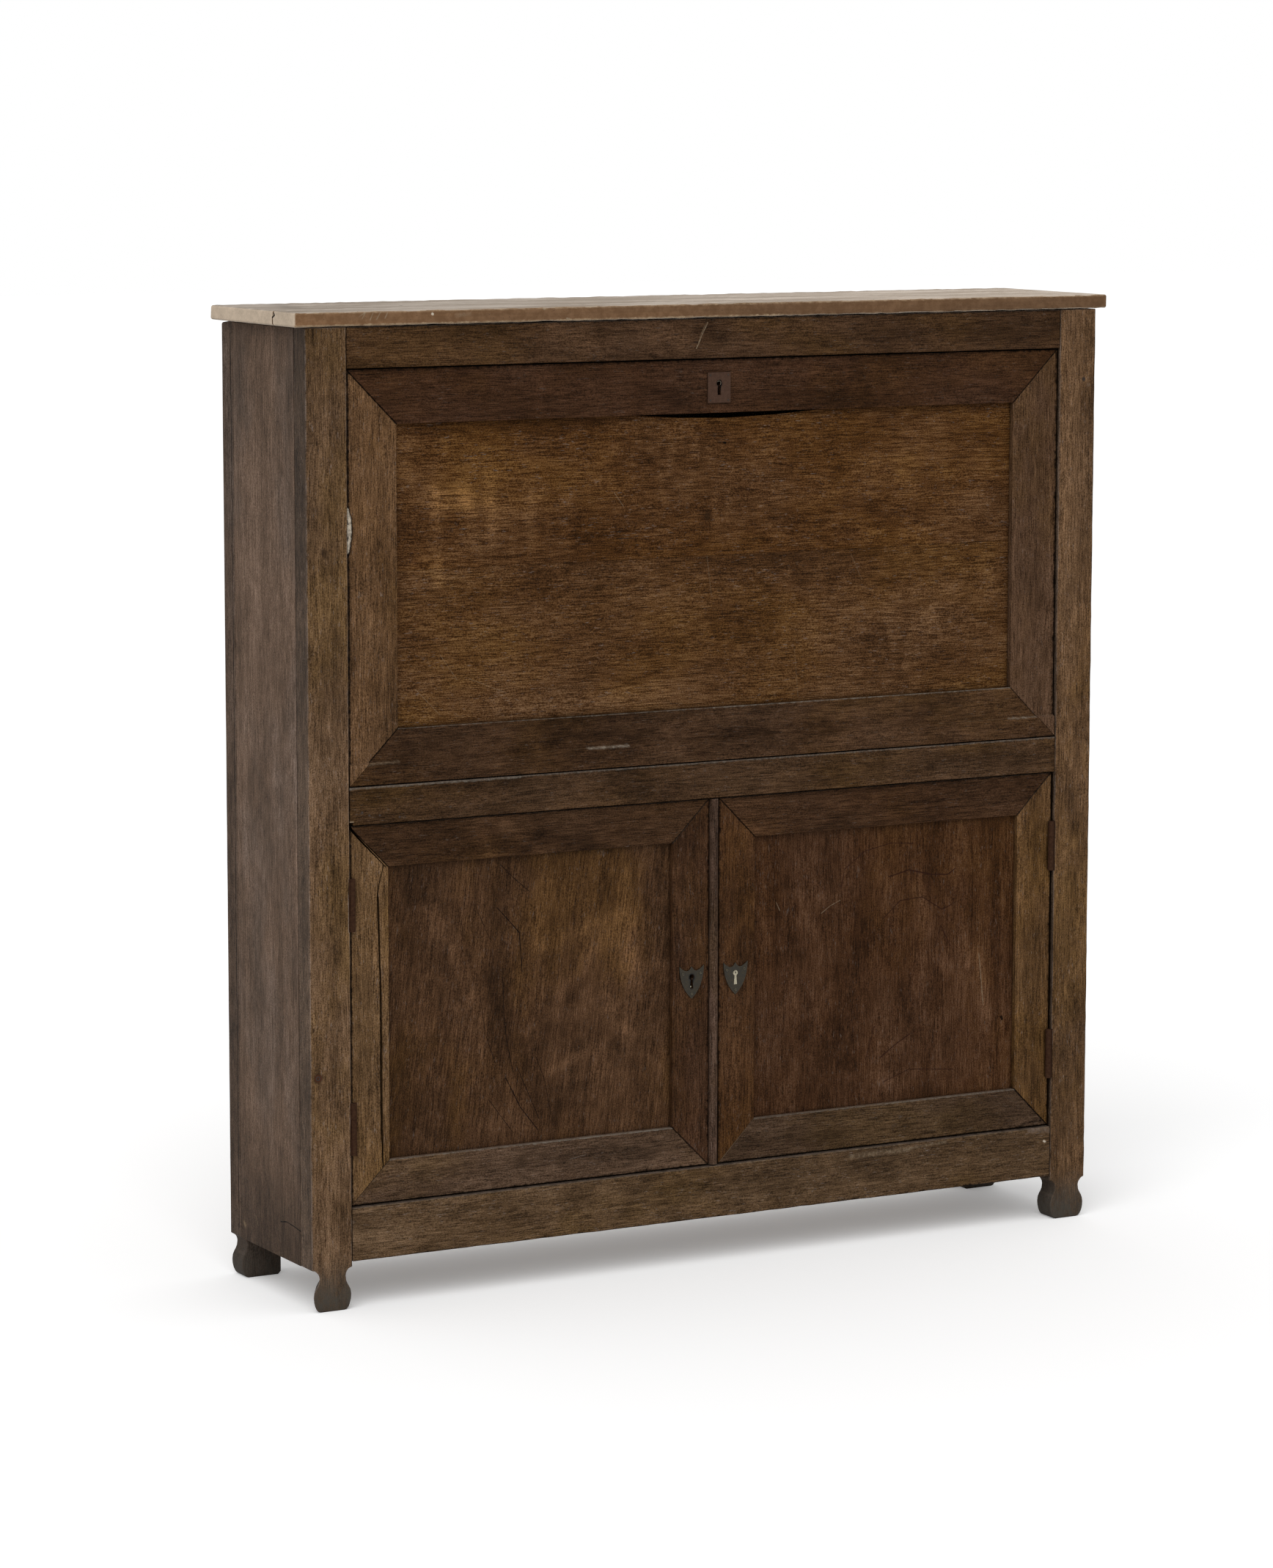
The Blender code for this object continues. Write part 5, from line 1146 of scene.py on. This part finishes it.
def fit_small_pieces():
    iron = old_metal("nail_iron", linear(44, 34, 28), linear(70, 52, 40), 0.4, 0.55, scale=700.0)
    # Pale steel for the keyhole wire, a painted highlight in place of a glint
    steel = old_metal("glint_wire_steel", linear(128, 118, 104), linear(84, 72, 60), 0.6, 0.45, scale=900.0)
    bronze = old_metal("nail_bronze", linear(84, 78, 62), linear(56, 50, 40), 0.5, 0.45, scale=700.0)
    plate_nails(iron, bronze)
    keyhole_fittings(steel, putty_material())
    front_nails(iron)
    hinge_screws(iron)


# Stage

WHITE_LIGHT, FLOOR_GREY = (1, 1, 1, 1), (0.8, 0.8, 0.8, 1)


def floor():
    bpy.ops.mesh.primitive_plane_add(size=FLOOR_SIZE, location=(0, 0, 0))
    plane = bpy.context.object
    plane.name = "floor"
    g = Graph("floor_paint")
    rays = g.add("ShaderNodeLightPath").outputs
    seen = g.math("MAXIMUM", rays["Is Camera Ray"], rays["Is Glossy Ray"])
    seen = g.math("MAXIMUM", seen, rays["Is Transmission Ray"])
    g.shade({"Base Color": g.mix(seen, FLOOR_GREY, WHITE_LIGHT), "Emission Color": WHITE_LIGHT,
             "Emission Strength": g.product(seen, FLOOR_GLOW), "Roughness": 0.9, "Specular IOR Level": 0.0})
    plane.data.materials.append(g.material)


def light():
    world = bpy.data.worlds.new("studio")
    bpy.context.scene.world = world
    world.use_nodes = True
    tree = world.node_tree
    background = tree.nodes["Background"]
    background.inputs["Color"].default_value = WHITE_LIGHT
    rays = tree.nodes.new("ShaderNodeLightPath")
    seen = tree.nodes.new("ShaderNodeMath")
    seen.operation = "MAXIMUM"
    tree.links.new(rays.outputs["Is Camera Ray"], seen.inputs[0])
    tree.links.new(rays.outputs["Is Transmission Ray"], seen.inputs[1])
    level = tree.nodes.new("ShaderNodeMapRange")
    level.inputs["To Min"].default_value = WORLD_LEVEL
    level.inputs["To Max"].default_value = 1.0
    tree.links.new(seen.outputs[0], level.inputs["Value"])
    tree.links.new(level.outputs[0], background.inputs["Strength"])
    sun = bpy.data.lights.new("key", "SUN")
    sun.energy = SUN_LEVEL
    sun.angle = math.radians(SUN_SOFTNESS)
    put("key", sun).rotation_euler = Vector(SUN_FROM).to_track_quat("Z", "Y").to_euler()


def camera():
    lens = bpy.data.cameras.new("camera")
    lens.lens = LENS_MM
    lens.sensor_width = SENSOR_MM
    lens.clip_end = 100
    eye = put("camera", lens)
    eye.location = CAMERA_PLACE
    turn, dip = math.radians(CAMERA_TURN), math.radians(CAMERA_DIP)
    view = Vector((math.sin(turn) * math.cos(dip), math.cos(turn) * math.cos(dip), -math.sin(dip)))
    level = view.to_track_quat("-Z", "Y").to_matrix()
    eye.rotation_euler = (level @ Matrix.Rotation(math.radians(CAMERA_ROLL), 3, "Z")).to_euler()
    bpy.context.scene.camera = eye


def main():
    bpy.context.scene.view_settings.view_transform = "Standard"
    finish_nodes()
    wear_boards()
    fit_small_pieces()
    floor()
    light()
    camera()


main()
